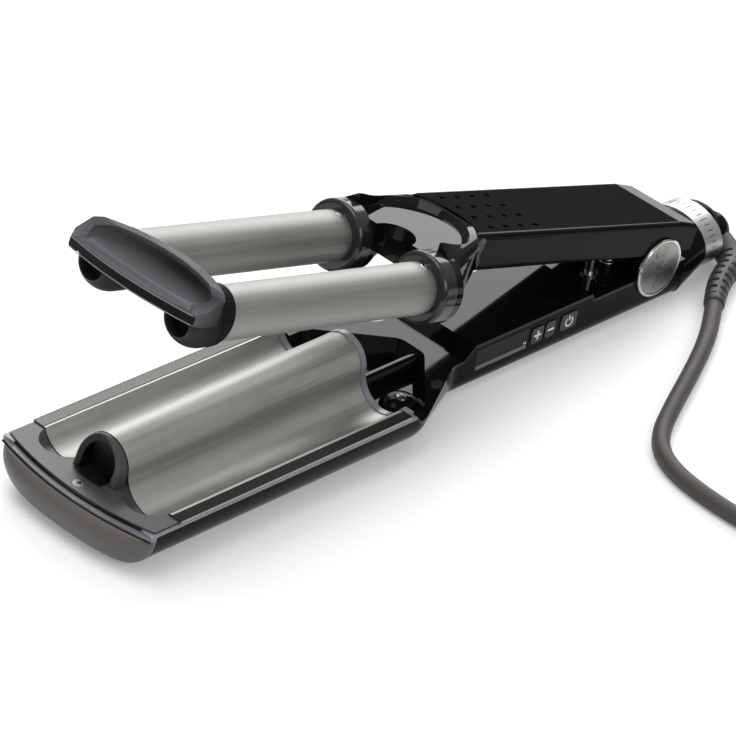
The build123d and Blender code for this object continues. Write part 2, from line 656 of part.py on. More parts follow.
for name, side in (("near", -1), ("far", 1)):
    with BuildPart() as heat_spreader:
        with BuildSketch(station(LOWER, HEATER_X[0])):
            with Locations((side * VALLEY_Y, (SPREADER_TOP + SPREADER_BOTTOM) / 2)):
                Rectangle(2 * SPREADER_HALF, SPREADER_TOP - SPREADER_BOTTOM)
            with Locations((side * VALLEY_Y, WAVE_Z)):
                Circle(VALLEY_R + SHEET + FIT, mode=Mode.SUBTRACT)
        extrude(amount=HEATER_X[1] - HEATER_X[0])
    heat_spreader.part.label = f"heat_spreader_{name}"
    export_step(heat_spreader.part, f"parts/heat_spreader_{name}.step")

    with BuildPart() as plate_heater:
        with BuildSketch(LOWER.offset(CLAMP_TOP)):
            with Locations((sum(HEATER_X) / 2, side * VALLEY_Y)):
                Rectangle(HEATER_X[1] - HEATER_X[0], 2 * HEATER_HALF)
        extrude(amount=SPREADER_BOTTOM - CLAMP_TOP)
    plate_heater.part.label = f"plate_heater_{name}"
    export_step(plate_heater.part, f"parts/plate_heater_{name}.step")

with BuildPart() as heater_clamp:
    with BuildSketch(LOWER.offset(CLAMP_TOP)):
        with Locations((sum(CLAMP_X) / 2, 0)):
            Rectangle(CLAMP_X[1] - CLAMP_X[0] + 2 * POST_BOSS_R, 2 * CLAMP_HALF)
        with Locations((sum(CLAMP_X) / 2, 0)):
            SlotOverall(CLAMP_SLOT, CLAMP_SLOT_WIDTH, mode=Mode.SUBTRACT)
        with Locations(*post_places):
            Circle(SCREW_R + FIT, mode=Mode.SUBTRACT)
    extrude(amount=-CLAMP_T)
heater_clamp.part.label = "heater_clamp"
export_step(heater_clamp.part, "parts/heater_clamp.step")

with BuildPart() as clamp_screws:
    add(screw(LOWER.offset(CLAMP_TOP), post_places, HEAD_R, CLAMP_SCREW_LENGTH, HEAD_T / 2))
clamp_screws.part.label = "clamp_screws"
export_step(clamp_screws.part, "parts/clamp_screws.step")

with BuildPart() as thermal_fuse:
    with BuildSketch(station(LOWER, FUSE_X[0])):
        with Locations((0, CLAMP_TOP + FUSE_R)):
            Circle(FUSE_R)
    extrude(amount=FUSE_X[1] - FUSE_X[0])
thermal_fuse.part.label = "thermal_fuse"
export_step(thermal_fuse.part, "parts/thermal_fuse.step")

# ---- controls: board on edge behind the near wall, with display and switches ------------------------------
WINDOW_T = 1.2
DISPLAY_MARGIN = 1.4
SWITCH_SIZE = 6.0
SWITCH_BODY = 3.0
SWITCH_STEM_R = 1.5
SWITCH_STEM = 0.6
BUTTON_FLANGE = 0.5
BUTTON_FLANGE_T = 0.8
INNER_Y = WALL - HANDLE_HALF      # inside of the near wall

with BuildPart() as control_board:
    with BuildSketch(LOWER.offset(BOARD_BOTTOM)):
        with Locations((sum(BOARD_X) / 2, sum(BOARD_Y) / 2)):
            Rectangle(BOARD_X[1] - BOARD_X[0], BOARD_Y[1] - BOARD_Y[0])
    extrude(amount=BOARD_TOP - BOARD_BOTTOM)
control_board.part.label = "control_board"
export_step(control_board.part, "parts/control_board.step")

with BuildPart() as display_window:
    with BuildSketch(flank(LOWER, -HANDLE_HALF)):
        with Locations((DISPLAY_X, CONTROL_Z)):
            Rectangle(DISPLAY_LENGTH - 2 * FIT, DISPLAY_HEIGHT - 2 * FIT)
    extrude(amount=-WINDOW_T)
display_window.part.label = "display_window"
export_step(display_window.part, "parts/display_window.step")

with BuildPart() as display_module:
    with BuildSketch(flank(LOWER, WINDOW_T - HANDLE_HALF)):
        with Locations((DISPLAY_X, CONTROL_Z)):
            Rectangle(DISPLAY_LENGTH - 2 * DISPLAY_MARGIN, DISPLAY_HEIGHT - 2 * DISPLAY_MARGIN)
    extrude(amount=WINDOW_T - HANDLE_HALF - BOARD_Y[0])
display_module.part.label = "display_module"
export_step(display_module.part, "parts/display_module.step")

with BuildPart() as button_switches:
    with BuildSketch(flank(LOWER, BOARD_Y[0])):
        with Locations(*[(x, CONTROL_Z) for x in BUTTON_X]):
            Rectangle(SWITCH_SIZE, SWITCH_SIZE)
    extrude(amount=SWITCH_BODY)
    with BuildSketch(flank(LOWER, BOARD_Y[0] - SWITCH_BODY)):
        with Locations(*[(x, CONTROL_Z) for x in BUTTON_X]):
            Circle(SWITCH_STEM_R)
    extrude(amount=SWITCH_STEM)
button_switches.part.label = "button_switches"
export_step(button_switches.part, "parts/button_switches.step")

for name, x, width in zip(("plus", "minus", "power"), BUTTON_X, BUTTON_WIDTH):
    with BuildPart() as button:
        with BuildSketch(flank(LOWER, -HANDLE_HALF - BUTTON_PROUD)):
            with Locations((x, CONTROL_Z)):
                RectangleRounded(width, BUTTON_HEIGHT, BUTTON_CORNER)
        extrude(amount=-BUTTON_PROUD - WALL - RUN)
        fillet(button.faces().sort_by(Axis.Y)[0].edges(), BUTTON_PROUD / 2)
        with BuildSketch(flank(LOWER, INNER_Y + RUN)):
            with Locations((x, CONTROL_Z)):
                RectangleRounded(width + 2 * BUTTON_FLANGE, BUTTON_HEIGHT + 2 * BUTTON_FLANGE, BUTTON_CORNER)
        extrude(amount=-BUTTON_FLANGE_T)
    button.part.label = f"button_{name}"
    export_step(button.part, f"parts/button_{name}.step")

# ---- hinge ------------------------------------------------------------------------------------------------
with BuildPart() as hinge_pin:
    with BuildSketch(flank(LOWER, CHEEK_OUT)):
        Circle(PIN_R)
    extrude(amount=2 * CHEEK_OUT)
hinge_pin.part.label = "hinge_pin"
export_step(hinge_pin.part, "parts/hinge_pin.step")

for name, side in (("near", -1), ("far", 1)):
    with BuildPart() as medallion:
        with BuildSketch(flank(LOWER, side * CHEEK_OUT)):
            Circle(MEDAL_R)
        extrude(amount=-side * MEDAL_T)
        fillet(medallion.faces().sort_by(Axis.Y)[0 if side < 0 else -1].edges(), MEDAL_T / 2)
    medallion.part.label = f"medallion_{name}"
    export_step(medallion.part, f"parts/medallion_{name}.step")

    with BuildPart() as hinge_bush:
        with BuildSketch(flank(LOWER, side * LUG_Y)):
            Circle(BUSH_R)
            Circle(PIN_R + PIN_GAP, mode=Mode.SUBTRACT)
        extrude(amount=-side * LUG_T)
    hinge_bush.part.label = f"hinge_bush_{name}"
    export_step(hinge_bush.part, f"parts/hinge_bush_{name}.step")

# ---- upper cover ------------------------------------------------------------------------------------------
SEAM_FOOT_X = -122.0      # lower front corner of the cover's side wall
SEAM_HEAD_X = -133.5      # upper front corner
HORN_X = -139.0           # front ends of the top beside its round front edge
TOP_ROUND = 2.4
TOP_SLOPE = (TOP_REAR_Z - TOP_FRONT_Z) / (TOP_BEND_X - HORN_X)
SIDE_BEND_X = -16.0
REAR_FOOT_Z = 6.9
SIDE_SLOPE = (SIDE_REAR_Z - SIDE_FRONT_Z) / (SIDE_BEND_X - SCOOP_X)
DIMPLE_X = -108.2         # middle of the dimple pattern
DIMPLE_PITCH = (10.45, 9.35)
DIMPLE_SIZE = (1.7, 1.2)
DIMPLE_DEPTH = 0.8
DIMPLE_ROWS = 4
WEB_TOP = 19.0
UPPER_SCREW_PLACES = [(-105.0, 10.0), (-105.0, -10.0), (-45.0, 0.0)]
LINER_RAISE = 0.4
LINER_FRONT = -116.8
LINER_REAR = -8.4
POST_SLOT_R = POST_R + 0.5
UPPER_SCREW_LENGTH = 7.0


def top_z(x):
    """Height of the upper handle's top."""
    return TOP_FRONT_Z + (x - HORN_X) * TOP_SLOPE


def side_z(x):
    """Height of the lower edge of the upper handle's side walls."""
    return SIDE_FRONT_Z + (x - SCOOP_X) * SIDE_SLOPE


def cover_profile(inset, front):
    """Side outline of the upper handle, drawn in by inset at the top and the rear, and then open below."""
    below = ROOF if inset else 0
    with BuildSketch(flank(UPPER, 0)) as profile:
        with BuildLine():
            Polyline(
                (front, side_z(front) - below),
                (front, top_z(front) - inset),
                (TOP_BEND_X - inset / 4, TOP_REAR_Z - inset),
                (COVER_REAR - inset, REAR_END_Z - inset),
                (COVER_REAR - inset, REAR_FOOT_Z - below),
                (SIDE_BEND_X, SIDE_REAR_Z - below),
                close=True,
            )
        make_face()
    return profile.sketch


with BuildPart() as upper_cover:
    extrude(cover_profile(0, HORN_X), amount=HANDLE_HALF, both=True)
    top_edges = [e for e in upper_cover.edges() if abs(abs(e.center().Y) - HANDLE_HALF) < FIT]
    top_edges = [e for e in top_edges if UPPER.to_local_coords(e.center()).Z > WEB_TOP]
    fillet([e for e in top_edges if e.length > COVER_REAR - TOP_BEND_X], TOP_ROUND)
    extrude(cover_profile(WALL, HORN_X - WALL), amount=HANDLE_HALF - WALL, both=True, mode=Mode.SUBTRACT)
    # round front edge of the top and slanted front edges of the side walls
    with BuildSketch(UPPER):
        with Locations((SCOOP_X - SCOOP_R, 0)):
            Circle(SCOOP_R)
    extrude(amount=2 * ROOF, mode=Mode.SUBTRACT)
    with BuildSketch(flank(UPPER, HANDLE_HALF + WALL)) as seam_cut:
        with BuildLine():
            Polyline(
                (SEAM_FOOT_X, 0),
                (SEAM_FOOT_X, side_z(SEAM_FOOT_X)),
                (SEAM_HEAD_X, top_z(SEAM_HEAD_X) - TOP_ROUND),
                (SEAM_HEAD_X, ROOF),
                (2 * HORN_X, ROOF),
                (2 * HORN_X, 0),
                close=True,
            )
        make_face()
    extrude(amount=2 * WALL + FIT, mode=Mode.SUBTRACT)
    # hinge lugs on webs from the top
    for side in (-1, 1):
        with BuildSketch(flank(UPPER, side * LUG_Y)):
            Circle(LUG_R)
            with Locations((0, WEB_TOP / 2)):
                Rectangle(2 * LUG_R, WEB_TOP)
            Circle(BUSH_R + FIT, mode=Mode.SUBTRACT)
        extrude(amount=-side * LUG_T)
    # room for the cheeks of the lower housing
    for side in (-1, 1):
        with BuildSketch(flank(UPPER, side * (CHEEK_Y - RUN))):
            Circle(CHEEK_R + CHEEK_GAP)
        extrude(amount=-side * HANDLE_HALF, mode=Mode.SUBTRACT)
    # bosses for the screws of the liner
    for x, y in UPPER_SCREW_PLACES:
        foot = side_z(x) + LINER_RAISE + LINER_T + DECK_BOSS_R * abs(SIDE_SLOPE) + FIT
        with BuildSketch(UPPER.offset(foot)):
            with Locations((x, y)):
                Circle(DECK_BOSS_R)
        extrude(amount=top_z(x) - WALL / 2 - foot)
        with BuildSketch(UPPER.offset(foot)):
            with Locations((x, y)):
                Circle(SCREW_R + FIT)
        extrude(amount=UPPER_SCREW_LENGTH, mode=Mode.SUBTRACT)
    # four rows of dimples in the top
    with BuildSketch(UPPER.offset(top_z(DIMPLE_X) - DIMPLE_DEPTH)) as dimples:
        with Locations((DIMPLE_X, 0)):
            with GridLocations(*DIMPLE_PITCH, DIMPLE_ROWS, DIMPLE_ROWS):
                Ellipse(*DIMPLE_SIZE)
    for dimple in dimples.sketch.faces():
        x = UPPER.to_local_coords(dimple.center()).X
        lift = top_z(x) - top_z(DIMPLE_X)
        extrude(dimple.moved(Location(UPPER.z_dir * lift)), amount=WALL, dir=UPPER.z_dir, mode=Mode.SUBTRACT)
upper_cover.part.label = "upper_cover"
export_step(upper_cover.part, "parts/upper_cover.step")

# ---- upper liner: inner cover that closes the upper handle from below -------------------------------------
LINER_HALF = HANDLE_HALF - WALL - FIT
POST_SLOT_X = -28.6
POST_SLOT = 5.0

with BuildPart() as upper_liner:
    with BuildSketch(flank(UPPER, 0)):
        with BuildLine():
            Polyline(
                (LINER_FRONT, side_z(LINER_FRONT) + LINER_RAISE),
                (LINER_REAR, side_z(LINER_REAR) + LINER_RAISE),
                (LINER_REAR, side_z(LINER_REAR) + LINER_RAISE + LINER_T),
                (LINER_FRONT, side_z(LINER_FRONT) + LINER_RAISE + LINER_T),
                close=True,
            )
        make_face()
    extrude(amount=LINER_HALF, both=True)
    with BuildSketch(UPPER):
        with Locations((POST_SLOT_X, POST_Y)):
            SlotOverall(POST_SLOT + 2 * POST_SLOT_R, 2 * POST_SLOT_R)
        with Locations(*UPPER_SCREW_PLACES):
            Circle(SCREW_R + FIT)
    extrude(amount=ROOF, mode=Mode.SUBTRACT)
    for side in (-1, 1):
        with BuildSketch(flank(UPPER, side * (CHEEK_Y - RUN))):
            Circle(CHEEK_R + CHEEK_GAP)
        extrude(amount=-side * HANDLE_HALF, mode=Mode.SUBTRACT)
upper_liner.part.label = "upper_liner"
export_step(upper_liner.part, "parts/upper_liner.step")

with BuildPart() as upper_screws:
    for x, y in UPPER_SCREW_PLACES:
        seat = UPPER.offset(side_z(x) + LINER_RAISE - 2 * FIT)
        under = Plane(origin=seat.from_local_coords((x, y, 0)), x_dir=seat.x_dir, z_dir=-seat.z_dir)
        add(screw(under, [(0, 0)], HEAD_R, UPPER_SCREW_LENGTH, HEAD_T))
upper_screws.part.label = "upper_screws"
export_step(upper_screws.part, "parts/upper_screws.step")

# ---- stop post and opening spring -------------------------------------------------------------------------
POST_FLANGE_T = 1.0
POST_STOP_Z = 16.6        # underside of the head that the liner meets when open
POST_HEAD_T = 2.0

with BuildPart() as stop_post:
    with BuildSketch(LOWER.offset(REAR_TOP)):
        with Locations((POST_X, POST_Y)):
            Circle(POST_HEAD_R)
    extrude(amount=POST_FLANGE_T)
    with BuildSketch(LOWER.offset(REAR_TOP)):
        with Locations((POST_X, POST_Y)):
            Circle(POST_R)
    extrude(amount=POST_STOP_Z + POST_HEAD_T - REAR_TOP)
    with BuildSketch(LOWER.offset(POST_STOP_Z)):
        with Locations((POST_X, POST_Y)):
            Circle(POST_HEAD_R)
    extrude(amount=POST_HEAD_T)
stop_post.part.label = "stop_post"
export_step(stop_post.part, "parts/stop_post.step")

SPRING_TOP = 8.4
with BuildPart() as opening_spring:
    with BuildSketch(LOWER.offset(REAR_TOP)):
        with Locations((SPRING_X, SPRING_Y)):
            Circle(SPRING_R + SPRING_WIRE / 2)
            Circle(SPRING_R - SPRING_WIRE / 2, mode=Mode.SUBTRACT)
    extrude(amount=SPRING_TOP - REAR_TOP)
opening_spring.part.label = "opening_spring"
export_step(opening_spring.part, "parts/opening_spring.step")

# ---- barrel block: forked carrier of both barrels ---------------------------------------------------------
BLOCK_REAR = SEAM_HEAD_X
TONGUE_REAR = -117.0
SHELF_Z = 20.0
SHELF_R = 22.5
SHELF_X = -159.5
SHELF_HALF = 22.8
SHELF_SLOPE = 43.0
SHELF_TILT = 8.0          # the shelf falls towards the barrels
CROTCH_R = 10.3
CROTCH_X = -169.7
CROTCH_FLOOR = 11.0
SOCKET_LENGTH = 4.0
WIRE_R = 6.0
CHANNEL_Z = 13.6
CHANNEL_HEIGHT = 5.0
CHANNEL_WIDTH = 28.0
TONGUE_HALF = HANDLE_HALF - WALL - FIT
FRONT_HALF = [
    (0, TOP_FRONT_Z),
    (23.6, TOP_FRONT_Z),
    (35, 17.5),
    (40, 7),
    (34, -5),
    (BARREL_Y, -8.6),
    (12, -5),
    (9, 7.5),
    (0, 7.5),
]
REAR_HALF = [
    (0, 25.8),
    (HANDLE_HALF - 2.4, 25.8),
    (HANDLE_HALF - 0.8, 25),
    (HANDLE_HALF, 23.4),
    (HANDLE_HALF, 12),
    (HANDLE_HALF - 1, 9.9),
    (12, 9.9),
    (9, 9.9),
    (0, 9.9),
]


def both_sides(half):
    """Closed outline from the half on the far side."""
    return half + [(-y, z) for y, z in reversed(half[1:-1])]


shelf_floor = Plane(UPPER.location * Location((SHELF_X, 0, SHELF_Z), (0, -SHELF_TILT, 0)))

with BuildPart() as shelf_hollow:
    with BuildSketch(shelf_floor):
        Circle(SHELF_R)
        with Locations((-SHELF_R, 0)):
            Rectangle(2 * SHELF_R, 2 * SHELF_R)
    extrude(amount=SHELF_R / 2, taper=-SHELF_SLOPE)
    with BuildSketch(shelf_floor):
        Rectangle(4 * SHELF_R, 2 * SHELF_HALF)
    extrude(amount=SHELF_R / 2, mode=Mode.INTERSECT)

tongue_top = top_z(TONGUE_REAR) - WALL - FIT
side_run = [(0, tongue_top), (HANDLE_HALF, tongue_top)] + REAR_HALF[4:6] + REAR_HALF[-1:]
barrel_places = [(side * BARREL_Y, BARREL_Z) for side in (-1, 1)]

with BuildPart() as barrel_block:
    with BuildSketch(station(UPPER, BLOCK_FRONT)):
        Polygon(*both_sides(FRONT_HALF), align=None)
    with BuildSketch(station(UPPER, BLOCK_REAR)):
        Polygon(*both_sides(REAR_HALF), align=None)
    loft(ruled=True)
    # sides that run on to the cover's slanted front edges, and the tongue inside the cover
    with BuildSketch(station(UPPER, BLOCK_REAR)):
        Polygon(*both_sides(side_run), align=None)
    extrude(amount=SEAM_FOOT_X - BLOCK_REAR)
    with BuildSketch(station(UPPER, SEAM_FOOT_X)):
        with Locations((0, (tongue_top + REAR_HALF[-1][1]) / 2)):
            Rectangle(2 * TONGUE_HALF, tongue_top - REAR_HALF[-1][1])
    extrude(amount=TONGUE_REAR - SEAM_FOOT_X)
    add(upper_cover.part, mode=Mode.SUBTRACT)
    # round sockets for the collars
    with BuildSketch(station(UPPER, BLOCK_FRONT)):
        with Locations(*barrel_places):
            Circle(COLLAR_R)
    extrude(amount=SOCKET_LENGTH)
    # crotch between the sockets and the scooped shelf above it
    with BuildSketch(UPPER.offset(CROTCH_FLOOR)):
        with Locations((CROTCH_X, 0)):
            Circle(CROTCH_R)
    extrude(amount=ROOF, mode=Mode.SUBTRACT)
    add(shelf_hollow.part, mode=Mode.SUBTRACT)
    # bores for the barrels and the channels for their wires
    with BuildSketch(station(UPPER, BLOCK_FRONT)):
        with Locations(*barrel_places):
            Circle(BARREL_R + FIT)
    extrude(amount=SOCKET_DEPTH, mode=Mode.SUBTRACT)
    with BuildSketch(station(UPPER, BLOCK_FRONT)):
        with Locations(*barrel_places):
            Circle(WIRE_R)
    extrude(amount=SOCKET_DEPTH + 2 * WIRE_R, mode=Mode.SUBTRACT)
    with BuildSketch(station(UPPER, BLOCK_FRONT + SOCKET_DEPTH + WIRE_R)):
        with Locations((0, CHANNEL_Z)):
            Rectangle(2 * BARREL_Y, CHANNEL_HEIGHT)
    extrude(amount=WIRE_R, mode=Mode.SUBTRACT)
    with BuildSketch(station(UPPER, BLOCK_FRONT + SOCKET_DEPTH + WIRE_R)):
        with Locations((0, CHANNEL_Z)):
            Rectangle(CHANNEL_WIDTH, CHANNEL_HEIGHT)
    extrude(amount=-BLOCK_FRONT, mode=Mode.SUBTRACT)
barrel_block.part.label = "barrel_block"
export_step(barrel_block.part, "parts/barrel_block.step")

# ---- barrels with their collars, heaters and end plugs ----------------------------------------------------
BARREL_REAR = BLOCK_FRONT + SOCKET_DEPTH
HEATER_BAR_X = (BARREL_FRONT + 10.5, COLLAR_FRONT - 9.0)
HEATER_BAR_HEIGHT = 7.0
PLUG_LENGTH = 8.0
COLLAR_ROUND = 2.0

for name, side in (("near", -1), ("far", 1)):
    place = (side * BARREL_Y, BARREL_Z)
    with BuildPart() as barrel:
        with BuildSketch(station(UPPER, BARREL_FRONT)):
            with Locations(place):
                Circle(BARREL_R)
                Circle(BARREL_R - SHEET, mode=Mode.SUBTRACT)
        extrude(amount=BARREL_REAR - BARREL_FRONT)
    barrel.part.label = f"barrel_{name}"
    export_step(barrel.part, f"parts/barrel_{name}.step")

    with BuildPart() as barrel_collar:
        with BuildSketch(station(UPPER, COLLAR_FRONT)):
            with Locations(place):
                Circle(COLLAR_R)
        extrude(amount=BLOCK_FRONT - COLLAR_FRONT)
        fillet(barrel_collar.faces().sort_by(Axis.X)[0].edges(), COLLAR_ROUND)
        with BuildSketch(station(UPPER, COLLAR_FRONT)):
            with Locations(place):
                Circle(BARREL_R + FIT)
        extrude(amount=BLOCK_FRONT - COLLAR_FRONT, mode=Mode.SUBTRACT)
    barrel_collar.part.label = f"barrel_collar_{name}"
    export_step(barrel_collar.part, f"parts/barrel_collar_{name}.step")

    with BuildPart() as barrel_heater:
        with BuildSketch(station(UPPER, HEATER_BAR_X[0])):
            with Locations(place):
                Circle(BARREL_R - SHEET - FIT)
                Rectangle(2 * BARREL_R, HEATER_BAR_HEIGHT, mode=Mode.INTERSECT)
        extrude(amount=HEATER_BAR_X[1] - HEATER_BAR_X[0])
    barrel_heater.part.label = f"barrel_heater_{name}"
    export_step(barrel_heater.part, f"parts/barrel_heater_{name}.step")

    with BuildPart() as barrel_plug:
        with BuildSketch(station(UPPER, BARREL_FRONT)):
            with Locations(place):
                Circle(BARREL_R - SHEET - FIT)
                Circle(SCREW_R + FIT, mode=Mode.SUBTRACT)
        extrude(amount=PLUG_LENGTH)
    barrel_plug.part.label = f"barrel_plug_{name}"
    export_step(barrel_plug.part, f"parts/barrel_plug_{name}.step")

# ---- tip bridge: concave thumb rest that joins the barrel tips --------------------------------------------
BRIDGE_T = 1.3
BRIDGE_WALL = 2.2
BRIDGE_CORNER_HALF = 35.0
BRIDGE_FRONT_SIDE = BRIDGE_FRONT + 4.0
BRIDGE_SIDE_X = (BRIDGE_FRONT + 7.5, BRIDGE_FRONT + 16.0)
BRIDGE_TILT = 10.1        # slope of the dish's floor, degrees
BRIDGE_SLOPE = (BRIDGE_FRONT + 3.5, BRIDGE_FRONT + 18.5)  # where the rim comes down to the front edge
# sections of the dish: inset from the bridge's outline, height above its floor
DISH_STEPS = ((9.0, 0.0), (6.4, 0.8), (4.3, 2.5), (3.0, 5.0), (2.6, 9.0))
CUP_TOP_X = BARREL_FRONT + 9.0
CUP_LOW_X = BARREL_FRONT + 2.5
GROOVE_FRONT = BRIDGE_FRONT + 9.0
POCKET_R = 6.5
POCKET_REAR = BARREL_FRONT - 5.0
POCKET_RAISE = -1.0
RIDGE_CLEARANCE = 0.4
BRIDGE_SCREW_LENGTH = 9.0
REST_LIFT = 2.2           # how far the bridge stays above the ridge when the arms are pressed together
BRIDGE_BOW = BRIDGE_REAR - BRIDGE_SIDE_X[1]
BRIDGE_BOW_R = (BRIDGE_HALF**2 + BRIDGE_BOW**2) / (2 * BRIDGE_BOW)
DISH_FLOOR = Plane(
    origin=UPPER.from_local_coords((BRIDGE_FRONT, 0, BRIDGE_FRONT_Z)),
    x_dir=UPPER.x_dir * cos(radians(BRIDGE_TILT)) + UPPER.z_dir * sin(radians(BRIDGE_TILT)),
    z_dir=UPPER.z_dir * cos(radians(BRIDGE_TILT)) - UPPER.x_dir * sin(radians(BRIDGE_TILT)),
)


def bowed_rear(plane, inset, origin, start):
    """Sketch from a straight front to the bridge's bowed rear edge, drawn in by inset; x is from origin."""
    half = BRIDGE_HALF - inset
    middle = BRIDGE_REAR - origin
    side = middle - BRIDGE_BOW_R + sqrt((BRIDGE_BOW_R - inset) ** 2 - half**2)
    with BuildSketch(plane) as bowed:
        with BuildLine():
            Polyline((side, -half), (start, -half), (start, half), (side, half))
            ThreePointArc((side, half), (middle - inset, 0), (side, -half))
        make_face()
    return bowed.sketch


with BuildPart() as bridge_cups:
    for y, z in barrel_places:
        with BuildSketch(flank(UPPER, y)):
            with BuildLine():
                Polyline(
                    (CUP_CENTRE_X - CUP_R, z),
                    (CUP_TOP_X, z),
                    (CUP_TOP_X, z + CUP_R),
                    (CUP_CENTRE_X, z + CUP_R),
                )
                RadiusArc((CUP_CENTRE_X, z + CUP_R), (CUP_CENTRE_X - CUP_R, z), -CUP_R)
            make_face()
        revolve(axis=Axis(UPPER.from_local_coords((0, y, z)), UPPER.x_dir))
    # rear faces that slant forward towards the bottom
    with BuildSketch(flank(UPPER, 0)):
        with BuildLine():
            Polyline(
                (CUP_TOP_X, BRIDGE_REAR_Z - BRIDGE_T),
                (CUP_LOW_X, BARREL_Z - CUP_R),
                (CUP_LOW_X, -ROOF),
                (CUP_TOP_X + ROOF, -ROOF),
                (CUP_TOP_X + ROOF, BRIDGE_REAR_Z - BRIDGE_T),
                close=True,
            )
        make_face()
    extrude(amount=2 * BRIDGE_HALF, both=True, mode=Mode.SUBTRACT)

with BuildPart() as tip_bridge:
    with BuildSketch(UPPER.offset(BRIDGE_FRONT_Z - BRIDGE_LIP)):
        with BuildLine():
            ThreePointArc(
                (BRIDGE_FRONT_SIDE, -BRIDGE_CORNER_HALF),
                (BRIDGE_FRONT, 0),
                (BRIDGE_FRONT_SIDE, BRIDGE_CORNER_HALF),
            )
            Polyline(
                (BRIDGE_FRONT_SIDE, BRIDGE_CORNER_HALF),
                (BRIDGE_SIDE_X[0], BRIDGE_HALF),
                (BRIDGE_SIDE_X[1], BRIDGE_HALF),
            )
            ThreePointArc((BRIDGE_SIDE_X[1], BRIDGE_HALF), (BRIDGE_REAR, 0), (BRIDGE_SIDE_X[1], -BRIDGE_HALF))
            Polyline(
                (BRIDGE_SIDE_X[1], -BRIDGE_HALF),
                (BRIDGE_SIDE_X[0], -BRIDGE_HALF),
                (BRIDGE_FRONT_SIDE, -BRIDGE_CORNER_HALF),
            )
        make_face()
    extrude(amount=BRIDGE_REAR_Z - BRIDGE_FRONT_Z + BRIDGE_LIP)
    # hollow underside behind the front lip
    extrude(
        bowed_rear(UPPER, BRIDGE_WALL, 0, BRIDGE_FRONT_SIDE + BRIDGE_WALL),
        amount=BRIDGE_FRONT_Z - BRIDGE_T,
        mode=Mode.SUBTRACT,
    )
    add(bridge_cups.part)
    # rim that comes down towards the front edge
    with BuildSketch(flank(UPPER, 0)):
        with BuildLine():
            Polyline(
                (2 * BRIDGE_FRONT, BRIDGE_FRONT_Z),
                (BRIDGE_SLOPE[0], BRIDGE_FRONT_Z),
                (BRIDGE_SLOPE[1], BRIDGE_REAR_Z),
                (BRIDGE_SLOPE[1], ROOF),
                (2 * BRIDGE_FRONT, ROOF),
                close=True,
            )
        make_face()
    extrude(amount=2 * BRIDGE_HALF, both=True, mode=Mode.SUBTRACT)
    dish = []
    for inset, height in DISH_STEPS:
        dish.append(bowed_rear(DISH_FLOOR.offset(height), inset, BRIDGE_FRONT, -BRIDGE_BOW))
    loft(dish, mode=Mode.SUBTRACT)
    # bores for the barrels, screw pockets in the round fronts, groove over the ridge
    with BuildSketch(station(UPPER, BARREL_FRONT - FIT)):
        with Locations(*barrel_places):
            Circle(BARREL_R + FIT)
    extrude(amount=2 * CUP_R, mode=Mode.SUBTRACT)
    with BuildSketch(station(UPPER, POCKET_REAR)):
        with Locations(*[(y, z + POCKET_RAISE) for y, z in barrel_places]):
            Circle(POCKET_R)
    extrude(amount=BRIDGE_FRONT + BRIDGE_WALL - POCKET_REAR, mode=Mode.SUBTRACT)
    with BuildSketch(station(UPPER, BARREL_FRONT - FIT)):
        with Locations(*barrel_places):
            Circle(SCREW_R + FIT)
    extrude(amount=2 * (POCKET_REAR - BARREL_FRONT), mode=Mode.SUBTRACT)
    with BuildSketch(station(UPPER, GROOVE_FRONT)):
        with Locations((0, WAVE_Z - REST_LIFT)):
            Circle(RIDGE_R + RIDGE_CLEARANCE)
    extrude(amount=BRIDGE_REAR + BRIDGE_T - GROOVE_FRONT, mode=Mode.SUBTRACT)
tip_bridge.part.label = "tip_bridge"
export_step(tip_bridge.part, "parts/tip_bridge.step")

with BuildPart() as bridge_screws:
    seat = station(UPPER, POCKET_REAR)
    facing = Plane(origin=seat.origin, x_dir=-seat.x_dir, z_dir=-seat.z_dir)
    add(screw(facing, [(-y, z) for y, z in barrel_places], HEAD_R, BRIDGE_SCREW_LENGTH, HEAD_T))
bridge_screws.part.label = "bridge_screws"
export_step(bridge_screws.part, "parts/bridge_screws.step")

# ---- tail cap, ring and swivel ----------------------------------------------------------------------------
TAIL_WALL = 2.0
TAIL_ROUND = 7.0
SPINDLE_R = 5.0
SPINDLE_BORE = 3.4
SPINDLE_FRONT = 36.0
SPINDLE_FLANGE_R = 8.0
COLLAR_GAP = 0.3
KNUCKLE_END = 58.5
KNUCKLE_ROOT_R = 12.4
KNUCKLE_CENTRE = (59.5, -3.0, -10.5)


def tail_section(x, inset):
    """Section of the tail: the handle's own outline in front, the oval of the ring at the rear."""
    with BuildSketch(station(LOWER, x)) as section:
        if x < (HANDLE_REAR + RING_FRONT) / 2:
            with Locations((0, (REAR_TOP + FLOOR) / 2)):
                RectangleRounded(2 * (HANDLE_HALF - inset), REAR_TOP - FLOOR - 2 * inset, TAIL_ROUND - inset)
        else:
            with Locations((0, TAIL_AXIS_Z)):
                Ellipse(TAIL_RING_Y - inset, TAIL_RING_Z - inset)
    return section.sketch


with BuildPart() as tail_cap:
    loft([tail_section(HANDLE_REAR, 0), tail_section(RING_FRONT, 0)])
    loft([tail_section(HANDLE_REAR, TAIL_WALL), tail_section(RING_FRONT, TAIL_WALL)], mode=Mode.SUBTRACT)
    # inner wall that holds the spindle's flange
    extrude(tail_section(RING_FRONT, FIT), amount=-TAIL_WALL)
    with BuildSketch(station(LOWER, RING_FRONT)):
        with Locations((0, TAIL_AXIS_Z)):
            Circle(SPINDLE_R + FIT)
    extrude(amount=-2 * TAIL_WALL, mode=Mode.SUBTRACT)
tail_cap.part.label = "tail_cap"
export_step(tail_cap.part, "parts/tail_cap.step")

